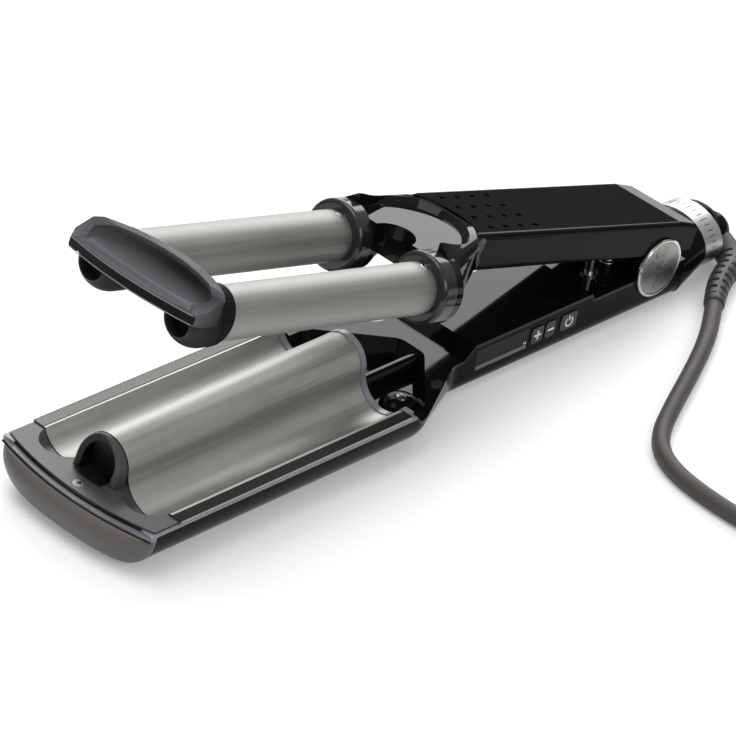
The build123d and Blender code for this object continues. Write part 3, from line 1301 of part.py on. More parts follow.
with BuildPart() as tail_ring:
    extrude(tail_section(RING_FRONT, 0), amount=RING_REAR - RING_FRONT)
    with BuildSketch(station(LOWER, RING_FRONT)):
        with Locations((0, TAIL_AXIS_Z)):
            Ellipse(TAIL_RING_Y - TAIL_WALL, TAIL_RING_Z - TAIL_WALL)
    extrude(amount=RING_REAR - RING_FRONT - TAIL_WALL, mode=Mode.SUBTRACT)
    with BuildSketch(station(LOWER, RING_FRONT)):
        with Locations((0, TAIL_AXIS_Z)):
            Circle(SPINDLE_R + FIT)
    extrude(amount=RING_REAR - RING_FRONT, mode=Mode.SUBTRACT)
tail_ring.part.label = "tail_ring"
export_step(tail_ring.part, "parts/tail_ring.step")

with BuildPart() as swivel_spindle:
    with BuildSketch(station(LOWER, SPINDLE_FRONT - TAIL_WALL)):
        with Locations((0, TAIL_AXIS_Z)):
            Circle(SPINDLE_FLANGE_R)
    extrude(amount=RING_FRONT - TAIL_WALL - SPINDLE_FRONT + TAIL_WALL)
    with BuildSketch(station(LOWER, SPINDLE_FRONT - TAIL_WALL)):
        with Locations((0, TAIL_AXIS_Z)):
            Circle(SPINDLE_R)
    extrude(amount=COLLAR_END - SPINDLE_FRONT + TAIL_WALL)
    with BuildSketch(station(LOWER, SPINDLE_FRONT - TAIL_WALL)):
        with Locations((0, TAIL_AXIS_Z)):
            Circle(SPINDLE_BORE)
    extrude(amount=COLLAR_END - SPINDLE_FRONT + TAIL_WALL, mode=Mode.SUBTRACT)
swivel_spindle.part.label = "swivel_spindle"
export_step(swivel_spindle.part, "parts/swivel_spindle.step")

with BuildPart() as swivel_collar:
    with BuildSketch(station(LOWER, RING_REAR + COLLAR_GAP)):
        with Locations((0, TAIL_AXIS_Z)):
            Circle(SWIVEL_R)
    extrude(amount=COLLAR_END - RING_REAR - 2 * COLLAR_GAP)
    fillet(swivel_collar.faces().sort_by(Axis.X)[-1].edges(), COLLAR_ROUND)
    with BuildSketch(station(LOWER, RING_REAR)):
        with Locations((0, TAIL_AXIS_Z)):
            Circle(SPINDLE_R + PIN_GAP)
    extrude(amount=COLLAR_END - RING_REAR, mode=Mode.SUBTRACT)
swivel_collar.part.label = "swivel_collar"
export_step(swivel_collar.part, "parts/swivel_collar.step")

# ---- knuckle, strain relief and cord ----------------------------------------------------------------------
with BuildPart() as swivel_knuckle:
    with BuildSketch(station(LOWER, COLLAR_END)):
        with Locations((0, TAIL_AXIS_Z)):
            Circle(KNUCKLE_ROOT_R - COLLAR_ROUND)
    extrude(amount=KNUCKLE_END - COLLAR_END)
    with Locations(LOWER.from_local_coords(KNUCKLE_CENTRE)):
        Sphere(KNUCKLE_R)
    with BuildSketch(station(LOWER, COLLAR_END)):
        Rectangle(4 * KNUCKLE_R, 6 * KNUCKLE_R)
    extrude(amount=-KNUCKLE_R, mode=Mode.SUBTRACT)
swivel_knuckle.part.label = "swivel_knuckle"
export_step(swivel_knuckle.part, "parts/swivel_knuckle.step")


def route_radii(points):
    """Radius of the arc at each inner point: as large as its two runs allow."""
    corners = []
    for before, corner, after in zip(points, points[1:], points[2:]):
        run_in = Vector(*corner) - Vector(*before)
        run_out = Vector(*after) - Vector(*corner)
        turn = radians(run_in.get_angle(run_out))
        corners.append(0.45 * min(run_in.length, run_out.length) / tan(turn / 2))
    return corners


RELIEF_ROUTE = [
    (60.5, -8.0, 9.5),
    (59.0, -17.5, 7.2),
    (52.0, -24.3, 6.7),
    (42.5, -27.6, 6.7),
    (32.0, -32.6, 6.5),
    (21.0, -40.4, 5.4),
]
CORD_ROUTE = [
    (21.0, -40.4, 5.4),
    (10.0, -48.3, 4.6),
    (-2.2, -56.1, 4.1),
    (-14.9, -62.9, 4.0),
    (-29.0, -70.0, 4.0),
    (-44.5, -77.3, 4.0),
    (-60.5, -85.0, 4.0),
    (-75.0, -92.6, 4.0),
    (-86.5, -102.0, 4.0),
    (-93.5, -115.0, 4.0),
    (-96.6, -131.0, 4.0),
    (-97.4, -149.0, 4.1),
    (-97.0, -167.0, 4.4),
    (-97.2, -183.2, 4.8),
]
CORD_END_ROUTE = [
    (9.0, -216.0, 20.8),
    (15.6, -202.8, 18.0),
    (19.4, -188.6, 13.0),
    (20.8, -174.2, 8.8),
    (21.0, -161.5, 6.9),
]
relief_radii = route_radii(RELIEF_ROUTE)
cord_radii = route_radii(CORD_ROUTE)
cord_end_radii = route_radii(CORD_END_ROUTE)
print("relief radii", [round(r, 1) for r in relief_radii])
print("cord radii", [round(r, 1) for r in cord_radii + cord_end_radii])

with BuildPart() as strain_relief:
    with BuildLine():
        relief_path = FilletPolyline(*RELIEF_ROUTE, radius=relief_radii)
    with BuildSketch(Plane(origin=relief_path @ 0, z_dir=relief_path % 0)):
        Circle(RELIEF_ROOT_R)
    with BuildSketch(Plane(origin=relief_path @ 1, z_dir=relief_path % 1)):
        Circle(RELIEF_END_R)
    sweep(multisection=True)
    add(swivel_knuckle.part, mode=Mode.SUBTRACT)
    with BuildSketch(station(LOWER, RING_REAR - COLLAR_GAP)):
        with Locations((0, TAIL_AXIS_Z)):
            Circle(SWIVEL_R + COLLAR_GAP)
    extrude(amount=COLLAR_END - RING_REAR + COLLAR_GAP, mode=Mode.SUBTRACT)
strain_relief.part.label = "strain_relief"
export_step(strain_relief.part, "parts/strain_relief.step")

cord_spans = (("cord", CORD_ROUTE, cord_radii), ("cord_end", CORD_END_ROUTE, cord_end_radii))
for name, route, corner_radii in cord_spans:
    with BuildPart() as cord:
        with BuildLine():
            cord_path = FilletPolyline(*route, radius=corner_radii)
        with BuildSketch(Plane(origin=cord_path @ 0, z_dir=cord_path % 0)):
            Circle(CORD_R)
        sweep()
        add(strain_relief.part, mode=Mode.SUBTRACT)
    cord.part.label = name
    export_step(cord.part, f"parts/{name}.step")
    filled = cord.part.volume / (pi * CORD_R**2 * cord_path.length)
    print(name, round(cord_path.length, 1), "long, volume over section x length", round(filled, 4))

with BuildPart() as cord_coil:
    with BuildSketch(Plane.XZ):
        with Locations((COIL_MID_R, COIL_HEIGHT / 2)):
            RectangleRounded(COIL_WIDTH, COIL_HEIGHT, COIL_ROUND)
    revolve(axis=Axis.Z)
cord_coil.part.position = (*COIL_CENTRE, 0)
cord_coil.part.label = "cord_coil"
export_step(cord_coil.part, "parts/cord_coil.step")

# ---- mains plug, lying beside the coil --------------------------------------------------------------------
PLUG_WIDTH = 26.0
PLUG_THICK = 13.6
PLUG_BODY = 30.0
PLUG_NECK = 18.0
PLUG_NECK_R = 5.4
PLUG_WAIST = 12.0
PLUG_ROUND = 2.5
PLUG_PIN_R = 2.0
PLUG_PIN_LENGTH = 19.0
PLUG_PIN_PITCH = 18.0
PLUG_X, PLUG_ROOT_Y, PLUG_Z = CORD_END_ROUTE[-1]
PLUG_BODY_Y = PLUG_ROOT_Y + PLUG_NECK


def across_plug(y):
    """Plane across the plug at y, facing its pins."""
    return Plane(origin=(PLUG_X, y, PLUG_Z), x_dir=(1, 0, 0), z_dir=(0, 1, 0))


with BuildPart() as mains_plug:
    # tapered neck from the cord into the body
    with BuildSketch(across_plug(PLUG_ROOT_Y)):
        Circle(CORD_R)
    with BuildSketch(across_plug(PLUG_BODY_Y + PLUG_ROUND)):
        Circle(PLUG_NECK_R)
    loft()
    with BuildSketch(Plane.XY.offset(PLUG_Z - PLUG_THICK / 2)) as plug_plan:
        with BuildLine():
            Polyline(
                (PLUG_X - PLUG_WAIST / 2, PLUG_BODY_Y),
                (PLUG_X - PLUG_WIDTH / 2, PLUG_BODY_Y + PLUG_BODY / 2),
                (PLUG_X - PLUG_WIDTH / 2, PLUG_BODY_Y + PLUG_BODY),
                (PLUG_X + PLUG_WIDTH / 2, PLUG_BODY_Y + PLUG_BODY),
                (PLUG_X + PLUG_WIDTH / 2, PLUG_BODY_Y + PLUG_BODY / 2),
                (PLUG_X + PLUG_WAIST / 2, PLUG_BODY_Y),
                close=True,
            )
        make_face()
        fillet(plug_plan.vertices(), PLUG_ROUND)
    extrude(amount=PLUG_THICK)
mains_plug.part.label = "mains_plug"
export_step(mains_plug.part, "parts/mains_plug.step")

with BuildPart() as plug_pins:
    with BuildSketch(across_plug(PLUG_BODY_Y + PLUG_BODY)):
        with GridLocations(PLUG_PIN_PITCH, 1, 2, 1):
            Circle(PLUG_PIN_R)
    extrude(amount=PLUG_PIN_LENGTH)
plug_pins.part.label = "plug_pins"
export_step(plug_pins.part, "parts/plug_pins.step")

# ---- screws under the lower handle ------------------------------------------------------------------------
with BuildPart() as housing_screws:
    under = Plane(origin=(0, 0, HEAD_T), x_dir=(1, 0, 0), z_dir=(0, 0, -1))
    add(screw(under, [(x, -y) for x, y in housing_screw_places], HEAD_R, HOUSING_SCREW_SHANK, HEAD_T))
housing_screws.part.label = "housing_screws"
export_step(housing_screws.part, "parts/housing_screws.step")
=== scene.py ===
import json
from math import atan2, cos, hypot, pi, radians, sin, sqrt

import bpy
from mathutils import Matrix, Vector


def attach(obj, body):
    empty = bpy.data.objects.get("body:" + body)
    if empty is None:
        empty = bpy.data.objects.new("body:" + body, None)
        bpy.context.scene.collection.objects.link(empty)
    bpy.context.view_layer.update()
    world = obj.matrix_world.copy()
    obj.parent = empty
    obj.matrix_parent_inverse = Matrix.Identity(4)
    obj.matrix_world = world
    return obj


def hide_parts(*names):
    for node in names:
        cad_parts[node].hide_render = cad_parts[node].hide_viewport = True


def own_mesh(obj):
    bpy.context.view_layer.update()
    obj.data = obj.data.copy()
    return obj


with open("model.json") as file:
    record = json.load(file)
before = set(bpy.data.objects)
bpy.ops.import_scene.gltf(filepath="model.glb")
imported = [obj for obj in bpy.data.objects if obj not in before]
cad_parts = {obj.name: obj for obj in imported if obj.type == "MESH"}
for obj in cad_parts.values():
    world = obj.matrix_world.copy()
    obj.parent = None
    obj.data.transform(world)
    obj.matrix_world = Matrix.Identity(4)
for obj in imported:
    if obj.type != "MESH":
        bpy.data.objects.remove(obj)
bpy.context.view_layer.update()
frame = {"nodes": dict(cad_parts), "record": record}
nodes = frame["nodes"]
MM = 0.001

# ---- places taken from the CAD model -----------------------------------------------------------------------
HINGE_Z = 22.5            # hinge axis above the floor, mm
OPEN_ANGLE = radians(13.8)
LOWER_ARM = "lower_arm"
UPPER_ARM = "upper_arm"


def world_point(x, y, z):
    """Point in metres, from millimetres."""
    return Vector((x, y, z)) * MM


def lower_point(x, y, z):
    """Point of the lower arm, from its place in millimetres from the hinge axis."""
    return world_point(x, y, z + HINGE_Z)


def upper_point(x, y, z):
    """Point of the open upper arm, from its place in millimetres along the arm and from the hinge axis."""
    along = x * cos(OPEN_ANGLE) + z * sin(OPEN_ANGLE)
    up = z * cos(OPEN_ANGLE) - x * sin(OPEN_ANGLE)
    return lower_point(along, y, up)


# ---- camera ------------------------------------------------------------------------------------------------
# fitted to the photograph: place in metres, right, down and ahead in the room, and lens in mm
CAMERA_PLACE = (-1.377855, -0.984014, 0.995291)
CAMERA_RIGHT = (0.68882226, -0.71099985, 0.14143232)
CAMERA_DOWN = (-0.30178177, -0.45862918, -0.8358152)
CAMERA_AHEAD = (0.65912947, 0.53304642, -0.53048078)
CAMERA_LENS = 216.126


def make_camera():
    """Camera at the photograph's place and angle."""
    data = bpy.data.cameras.new("camera")
    data.sensor_width = 36
    data.lens = CAMERA_LENS
    data.clip_end = 50
    camera = bpy.data.objects.new("camera", data)
    bpy.context.scene.collection.objects.link(camera)
    rows = [(CAMERA_RIGHT[i], -CAMERA_DOWN[i], -CAMERA_AHEAD[i], CAMERA_PLACE[i]) for i in range(3)]
    camera.matrix_world = Matrix((*rows, (0, 0, 0, 1)))
    bpy.context.scene.camera = camera


make_camera()

# ---- lines and tubes ---------------------------------------------------------------------------------------


def spline_object(name, points, bevel=0.0):
    """One smooth NURBS curve with a route's points, in millimetres, as its control points."""
    curve = bpy.data.curves.new(name, "CURVE")
    curve.dimensions = "3D"
    spline = curve.splines.new("NURBS")
    spline.points.add(len(points) - 1)
    for point, place in zip(spline.points, points):
        point.co = (*(Vector(place) * MM), 1)
    spline.order_u = 3
    spline.use_endpoint_u = True
    spline.resolution_u = 6
    curve.bevel_depth = bevel
    curve.bevel_resolution = 6
    return bpy.data.objects.new(name, curve)


def line_points(points):
    """Points along the NURBS curve of a route, in order."""
    curve_object = spline_object("line", points)
    mesh = bpy.data.meshes.new_from_object(curve_object)
    return [v.co.copy() for v in mesh.vertices]


def path_length(points):
    """Length of a line through the points."""
    return sum((b - a).length for a, b in zip(points, points[1:]))


def even_points(points, step):
    """The same line with points about step apart."""
    count = max(2, round(path_length(points) / step))
    spacing = path_length(points) / count
    even = [points[0]]
    gone = 0.0
    for a, b in zip(points, points[1:]):
        run = (b - a).length
        while run > 0 and gone + run >= spacing * len(even) and len(even) < count:
            even.append(a + (b - a) * ((spacing * len(even) - gone) / run))
        gone += run
    return even + [points[-1]]


def line_frames(line, closed=False):
    """Tangent, side and up at each point of a line, turned as little as possible from point to point."""
    last = len(line) - 1
    tangents = []
    for i in range(len(line)):
        before = line[i - 1] if i or closed else line[0]
        after = line[(i + 1) % len(line)] if i < last or closed else line[last]
        tangents.append((after - before).normalized())
    side = tangents[0].orthogonal().normalized()
    frames = []
    for tangent in tangents:
        side = (side - tangent * side.dot(tangent)).normalized()
        frames.append((tangent, side, tangent.cross(side)))
    return frames


def make_piece(name, vertices, faces, look, body):
    """Mesh piece that rides on a body."""
    mesh = bpy.data.meshes.new(name)
    mesh.from_pydata([tuple(v) for v in vertices], [], faces)
    mesh.update()
    piece = bpy.data.objects.new(name, mesh)
    bpy.context.scene.collection.objects.link(piece)
    mesh.materials.append(LOOKS[look])
    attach(piece, body)
    smooth(piece)
    return piece


def ring_faces(rings, sides, closed):
    """Faces between successive rings of points, with end caps where the rings don't close."""
    faces = []
    for i in range(rings if closed else rings - 1):
        here, ahead = i * sides, (i + 1) % rings * sides
        for k in range(sides):
            after = (k + 1) % sides
            faces.append((here + k, here + after, ahead + after, ahead + k))
    if not closed:
        faces.append(tuple(reversed(range(sides))))
        faces.append(tuple(range((rings - 1) * sides, rings * sides)))
    return faces


def tube(name, line, radius, look, body, sides=16):
    """Round tube along a line; radius is in metres, or a function of the distance gone and the angle."""
    vertices = []
    gone = 0.0
    for i, (point, (_, side, up)) in enumerate(zip(line, line_frames(line))):
        gone += (point - line[i - 1]).length if i else 0
        for k in range(sides):
            angle = 2 * pi * k / sides
            reach = radius(gone, angle) if callable(radius) else radius
            vertices.append(point + (side * cos(angle) + up * sin(angle)) * reach)
    return make_piece(name, vertices, ring_faces(len(line), sides, False), look, body)


def strip(name, line, across, width, thickness, look, body, slot, closed=False):
    """Flat strip along the middle of a line: across is the direction of its width."""
    across = Vector(across).normalized()
    vertices = []
    for point, (tangent, _, _) in zip(line, line_frames(line, closed)):
        out = tangent.cross(across).normalized() * (thickness / 2)
        half = across * (width / 2)
        vertices += [point - half - out, point + half - out, point + half + out, point - half + out]
    return make_piece(name, vertices, ring_faces(len(line), 4, closed), look, body)


def lathe(name, profile, place, axis, look, body, sides=40):
    """Turned piece: the profile's points are (radius, height) in millimetres along axis from place."""
    axis = Vector(axis).normalized()
    side = axis.orthogonal().normalized()
    up = axis.cross(side)
    vertices = []
    for radius, height in profile:
        for k in range(sides):
            angle = 2 * pi * k / sides
            out = side * cos(angle) + up * sin(angle)
            vertices.append(place + axis * (height * MM) + out * (radius * MM))
    return make_piece(name, vertices, ring_faces(len(profile), sides, False), look, body)


def plates(name, outlines, thickness, to_place, look, body):
    """Flat pieces with the given outlines, anticlockwise in sketch millimetres, and this thickness."""
    vertices, faces = [], []
    for outline in outlines:
        first, count = len(vertices), len(outline)
        vertices += [to_place(u, v, 0) for u, v in outline]
        vertices += [to_place(u, v, thickness) for u, v in outline]
        faces.append(tuple(first + k for k in reversed(range(count))))
        faces.append(tuple(first + count + k for k in range(count)))
        for k in range(count):
            after = (k + 1) % count
            faces.append((first + k, first + after, first + count + after, first + count + k))
    return make_piece(name, vertices, faces, look, body)


def bar(u, v, width, height):
    """Outline of a rectangle about a middle point."""
    return [
        (u - width / 2, v - height / 2),
        (u + width / 2, v - height / 2),
        (u + width / 2, v + height / 2),
        (u - width / 2, v + height / 2),
    ]


def cross(u, v, reach, width):
    """Outline of a plus sign: three corners, and the same three after each quarter turn."""
    half = width / 2
    quarter = [(-half, -reach), (half, -reach), (half, -half)]
    corners = []
    for _ in range(4):
        corners += quarter
        quarter = [(-y, x) for x, y in quarter]
    return [(u + x, v + y) for x, y in corners]


def open_ring(u, v, radius, width, gap, steps=20):
    """Outline of a ring with a gap at its top; gap is the angle left out."""
    angles = [pi / 2 + gap / 2 + (2 * pi - gap) * step / steps for step in range(steps + 1)]
    outer, inner = radius + width / 2, radius - width / 2
    outside = [(u + outer * cos(a), v + outer * sin(a)) for a in angles]
    return outside + [(u + inner * cos(a), v + inner * sin(a)) for a in reversed(angles)]


def smooth(obj, limit=32):
    """Smooth shading, with creases at edges sharper than the limit in degrees."""
    with bpy.context.temp_override(
        object=obj, active_object=obj, selected_objects=[obj], selected_editable_objects=[obj]
    ):
        bpy.ops.object.shade_smooth_by_angle(angle=radians(limit), keep_sharp_edges=False)


# ---- materials ---------------------------------------------------------------------------------------------
WORN_EDGE = (0.52, 0.6)   # pointiness at which an edge begins to be worn, and at which it is worn bare
GRAIN = 2600              # features to the metre on a spark-eroded moulding
GRAIN_DEPTH = 0.00004     # their depth in metres


class Look:
    """A procedural material in the making: its shader, and short calls that add nodes to it."""

    def __init__(self, name, colour, rough, metallic=0.0, ior=1.5, tilt=0.0):
        self.material = bpy.data.materials.new(name)
        self.material.use_nodes = True
        self.tree = self.material.node_tree
        self.shader = self.tree.nodes["Principled BSDF"]
        self.set("Base Color", (*colour, 1))
        self.set("Roughness", rough)
        self.set("Metallic", metallic)
        self.set("IOR", ior)
        place = self.add("ShaderNodeTexCoord")
        turn = self.add("ShaderNodeMapping")
        turn.inputs["Rotation"].default_value = (0, tilt, 0)
        self.link(place.outputs["Object"], turn.inputs["Vector"])
        self.place = turn.outputs["Vector"]

    def set(self, socket, value):
        """Give one of the shader's own sockets its value."""
        self.shader.inputs[socket].default_value = value

    def add(self, kind, **values):
        """New node with these properties."""
        node = self.tree.nodes.new(kind)
        for key, value in values.items():
            setattr(node, key, value)
        return node

    def link(self, output, socket):
        self.tree.links.new(output, socket)

    def stretched(self, scale):
        """Object coordinates, scaled along each axis."""
        node = self.add("ShaderNodeMapping")
        node.inputs["Scale"].default_value = scale
        self.link(self.place, node.inputs["Vector"])
        return node.outputs["Vector"]

    def noise(self, scale, detail=4.0, rough=0.55, where=None):
        """Noise with about this many features to the metre."""
        node = self.add("ShaderNodeTexNoise")
        node.inputs["Scale"].default_value = scale
        node.inputs["Detail"].default_value = detail
        node.inputs["Roughness"].default_value = rough
        self.link(where or self.place, node.inputs["Vector"])
        return node.outputs["Fac"]

    def ranged(self, value, low, high, start=0.3, end=0.7):
        """value, spread from start..end to low..high."""
        node = self.add("ShaderNodeMapRange")
        node.inputs["From Min"].default_value = start
        node.inputs["From Max"].default_value = end
        node.inputs["To Min"].default_value = low
        node.inputs["To Max"].default_value = high
        self.link(value, node.inputs["Value"])
        return node.outputs["Result"]

    def maths(self, operation, a, b):
        """Result of a Math node for a and b, each a number or a socket."""
        node = self.add("ShaderNodeMath", operation=operation)
        for value, socket in ((a, node.inputs[0]), (b, node.inputs[1])):
            if isinstance(value, (int, float)):
                socket.default_value = value
            else:
                self.link(value, socket)
        return node.outputs[0]

    def mixed(self, share, a, b):
        """Colour between a and b, each a colour or a socket."""
        node = self.add("ShaderNodeMix", data_type="RGBA")
        for value, socket in ((a, node.inputs[6]), (b, node.inputs[7])):
            if isinstance(value, tuple):
                socket.default_value = (*value, 1)
            else:
                self.link(value, socket)
        self.link(share, node.inputs["Factor"])
        return node.outputs[2]

    def axes(self):
        """X, Y and Z of the object coordinates."""
        node = self.add("ShaderNodeSeparateXYZ")
        self.link(self.place, node.inputs[0])
        return node.outputs

    def worn(self, colour, edge):
        """A colour, and another one where sharp edges are worn."""
        point = self.add("ShaderNodeNewGeometry")
        share = self.ranged(point.outputs["Pointiness"], 0.0, 1.0, *WORN_EDGE)
        return self.mixed(share, colour, edge)

    def tint(self, value, dark, light, edge=None):
        """Base colour between two colours by a value from 0 to 1, and another one on worn edges."""
        colour = self.mixed(value, dark, light)
        if edge:
            colour = self.worn(colour, edge)
        self.link(colour, self.shader.inputs["Base Color"])

    def vary_rough(self, value, low, high):
        """Roughness between two levels by a value from 0.3 to 0.7."""
        self.link(self.ranged(value, low, high), self.shader.inputs["Roughness"])

    def bump(self, value, depth, strength=1.0):
        """Relief of this depth in metres."""
        node = self.add("ShaderNodeBump")
        node.inputs["Strength"].default_value = strength
        node.inputs["Distance"].default_value = depth
        self.link(value, node.inputs["Height"])
        self.link(node.outputs["Normal"], self.shader.inputs["Normal"])


def scaled(colour, factor):
    """A lighter or darker copy of a colour."""
    return tuple(min(1.0, channel * factor) for channel in colour)


def gloss_plastic(name, colour, rough=0.07, ior=1.13):
    """Polished moulding: faint waviness of the mould and a few fine wipe marks in its gloss."""
    look = Look(name, colour, rough, ior=ior)
    cloud = look.noise(18, 3)
    marks = look.noise(260, 6, 0.7, look.stretched((1, 6, 6)))
    look.tint(cloud, scaled(colour, 0.85), scaled(colour, 1.2))
    look.vary_rough(look.maths("MULTIPLY", cloud, marks), rough * 0.7, rough * 1.8)
    look.bump(look.noise(70, 2), 0.00004, 0.35)
    return look.material


def satin_plastic(name, colour, rough, ior=1.6):
    """Fine spark-eroded moulding: dense grain, soft sheen, edges polished a little lighter."""
    look = Look(name, colour, rough, ior=ior)
    cloud = look.noise(35, 4)
    fine = look.noise(GRAIN, 3, 0.6)
    look.tint(cloud, scaled(colour, 0.88), scaled(colour, 1.14), scaled(colour, 1.5))
    look.vary_rough(look.maths("MULTIPLY", cloud, fine), rough * 0.85, rough * 1.2)
    look.bump(fine, GRAIN_DEPTH, 0.5)
    return look.material


# painted shade: black inside the hood's hollow, within these bounds
HOLLOW_R = 8.85           # radius of the hollow under the hood, mm
HOLLOW_FAR_R = 11.3       # its radius on the far side, where the black also covers the hood's front face as a painted dark reflection
HOLLOW_BAND = (-6.0, 4.0)  # distances across the jaw between which one radius turns into the other
HOLLOW_Z = 27.4           # height of the ridge's centre above the floor
HOLLOW_X = -320.6         # where the hollow begins, at that height
HOLLOW_LEAN = -0.35       # how its front leans with the height


def hood_shaded_plastic(name, colour, rough):
    """Nose moulding: grained, with painted shade in black inside the hood that closes the ridge, and a
    painted dark reflection on the far half of the hood's front face.
    """
    look = Look(name, colour, rough, ior=1.4)
    cloud = look.noise(35, 4)
    fine = look.noise(GRAIN, 3, 0.6)
    axes = look.axes()
    rise = look.maths("SUBTRACT", axes["Z"], HOLLOW_Z * MM)
    squares = [look.maths("POWER", value, 2.0) for value in (axes["Y"], rise)]
    off = look.maths("SQRT", look.maths("ADD", *squares), 0.0)
    reach = look.ranged(axes["Y"], HOLLOW_R * MM, HOLLOW_FAR_R * MM, *(y * MM for y in HOLLOW_BAND))
    inside = look.maths("LESS_THAN", look.maths("SUBTRACT", off, reach), 0.0)
    along = look.maths("ADD", axes["X"], look.maths("MULTIPLY", rise, HOLLOW_LEAN))
    behind = look.maths("GREATER_THAN", along, HOLLOW_X * MM)
    grey = look.mixed(cloud, scaled(colour, 0.88), scaled(colour, 1.14))
    grey = look.worn(grey, scaled(colour, 1.6))
    # painted shade: the mask inside the hood, black in the base colour
    hollow = look.maths("MULTIPLY", inside, behind)
    look.link(look.mixed(hollow, grey, BLACK), look.shader.inputs["Base Color"])
    look.vary_rough(look.maths("MULTIPLY", cloud, fine), rough * 0.85, rough * 1.2)
    look.bump(fine, GRAIN_DEPTH, 0.5)
    return look.material


# painted shade on the thumb rest grows between these, in mm along, across and up, with the axes turned like
# the arm
DISH_X = (-330.0, -314.0)
DISH_Y = (-4.0, 34.0)
DISH_Z = (41.0, 42.2)


def dish_shaded_plastic(name, colour, rough):
    """Thumb rest: grained, with painted shade that darkens it towards the back of its dish and its near end,
    where it is also duller.
    """
    look = Look(name, colour, rough, ior=1.12, tilt=-OPEN_ANGLE)
    cloud = look.noise(35, 4)
    fine = look.noise(GRAIN, 3, 0.6)
    axes = look.axes()
    back = look.ranged(axes["X"], 0, 1, *(x * MM for x in DISH_X))
    near = look.ranged(axes["Y"], 1, 0, *(y * MM for y in DISH_Y))
    low = look.ranged(axes["Z"], 1, 0, *(z * MM for z in DISH_Z))
    shade = look.maths("MULTIPLY", look.maths("MULTIPLY", back, low), look.ranged(near, 0.35, 1.0, 0, 1))
    grey = look.mixed(cloud, scaled(colour, 0.95), scaled(colour, 1.3))
    grey = look.worn(grey, scaled(colour, 2.2))
    # painted shade: the base colour falls to a fraction of its own where the mask is full
    look.link(look.mixed(shade, grey, scaled(colour, 0.15)), look.shader.inputs["Base Color"])
    look.link(look.ranged(shade, rough, rough + 0.25, 0, 1), look.shader.inputs["Roughness"])
    look.bump(fine, GRAIN_DEPTH, 0.5)
    return look.material


STREAK = (9, 1100, 1100)  # streaks to the metre along the metal, across it and through it
STREAK_CONTRAST = 0.16    # their share of lighter and darker


def brushed_metal(name, colour, rough, tilt=0.0):
    """Metal brushed along its length: fine streaks in its colour, gloss and relief, and a slow mottle."""
    look = Look(name, colour, rough, metallic=1.0, tilt=tilt)
    lines = look.noise(1, 5, 0.65, look.stretched(STREAK))
    cloud = look.noise(28, 4)
    both = look.maths("ADD", look.maths("MULTIPLY", lines, 0.7), look.maths("MULTIPLY", cloud, 0.3))
    dark, light = scaled(colour, 1 - STREAK_CONTRAST), scaled(colour, 1 + STREAK_CONTRAST)
    look.tint(look.ranged(both, 0, 1), dark, light)
    look.vary_rough(both, rough * 0.88, rough * 1.15)
    look.bump(lines, 0.00001, 0.5)
    return look.material


def plated(name, colour, rough, mottle=900, depth=0.00002, fleck=0.0):
    """Satin plating: soft mottle in its gloss and tone, or darker flecks where it is engraved or pitted."""
    look = Look(name, colour, rough, metallic=1.0)
    cloud = look.noise(120, 4)
    fine = look.noise(mottle, 5, 0.65)
    if fleck:
        pits = look.ranged(look.noise(mottle * 0.6, 3, 0.7), 0, 1, 0.5, 0.62)
        look.tint(pits, scaled(colour, 1.05), scaled(colour, 1 - 2 * fleck), scaled(colour, 1.25))
    else:
        look.tint(cloud, scaled(colour, 0.86), scaled(colour, 1.08), scaled(colour, 1.25))
    look.vary_rough(look.maths("MULTIPLY", cloud, fine), rough * 0.7, rough * 1.5)
    look.bump(fine, depth, 0.5)
    return look.material


def rubber(name, colour, rough=0.55):
    """Flexible sheath: dull, with a fine grain, dust in it and scuffed high spots."""
    look = Look(name, colour, rough, ior=1.45)
    cloud = look.noise(60, 5)
    fine = look.noise(1800, 4, 0.6)
    look.tint(cloud, scaled(colour, 0.8), scaled(colour, 1.3), scaled(colour, 1.9))
    look.vary_rough(fine, rough * 0.85, rough * 1.2)
    look.bump(fine, 0.00006, 0.5)
    return look.material


def board_laminate(name, colour):
    """Circuit board: solder resist over a weave of tracks."""
    look = Look(name, colour, 0.35)
    tracks = look.add("ShaderNodeTexBrick")
    tracks.inputs["Scale"].default_value = 300
    tracks.inputs["Color1"].default_value = (*scaled(colour, 0.8), 1)
    tracks.inputs["Color2"].default_value = (*scaled(colour, 1.25), 1)
    tracks.inputs["Mortar"].default_value = (*scaled(colour, 1.8), 1)
    look.link(look.place, tracks.inputs["Vector"])
    look.link(tracks.outputs["Color"], look.shader.inputs["Base Color"])
    look.bump(tracks.outputs["Fac"], 0.00003, 0.4)
    return look.material


BLACK = (0.0048, 0.0040, 0.0038)
GRAPHITE = (0.030, 0.030, 0.034)
WARM_GRAPHITE = (0.060, 0.056, 0.053)
CHAMPAGNE = (0.36, 0.352, 0.335)
SILVER = (0.55, 0.54, 0.52)
STEEL = (0.42, 0.41, 0.40)

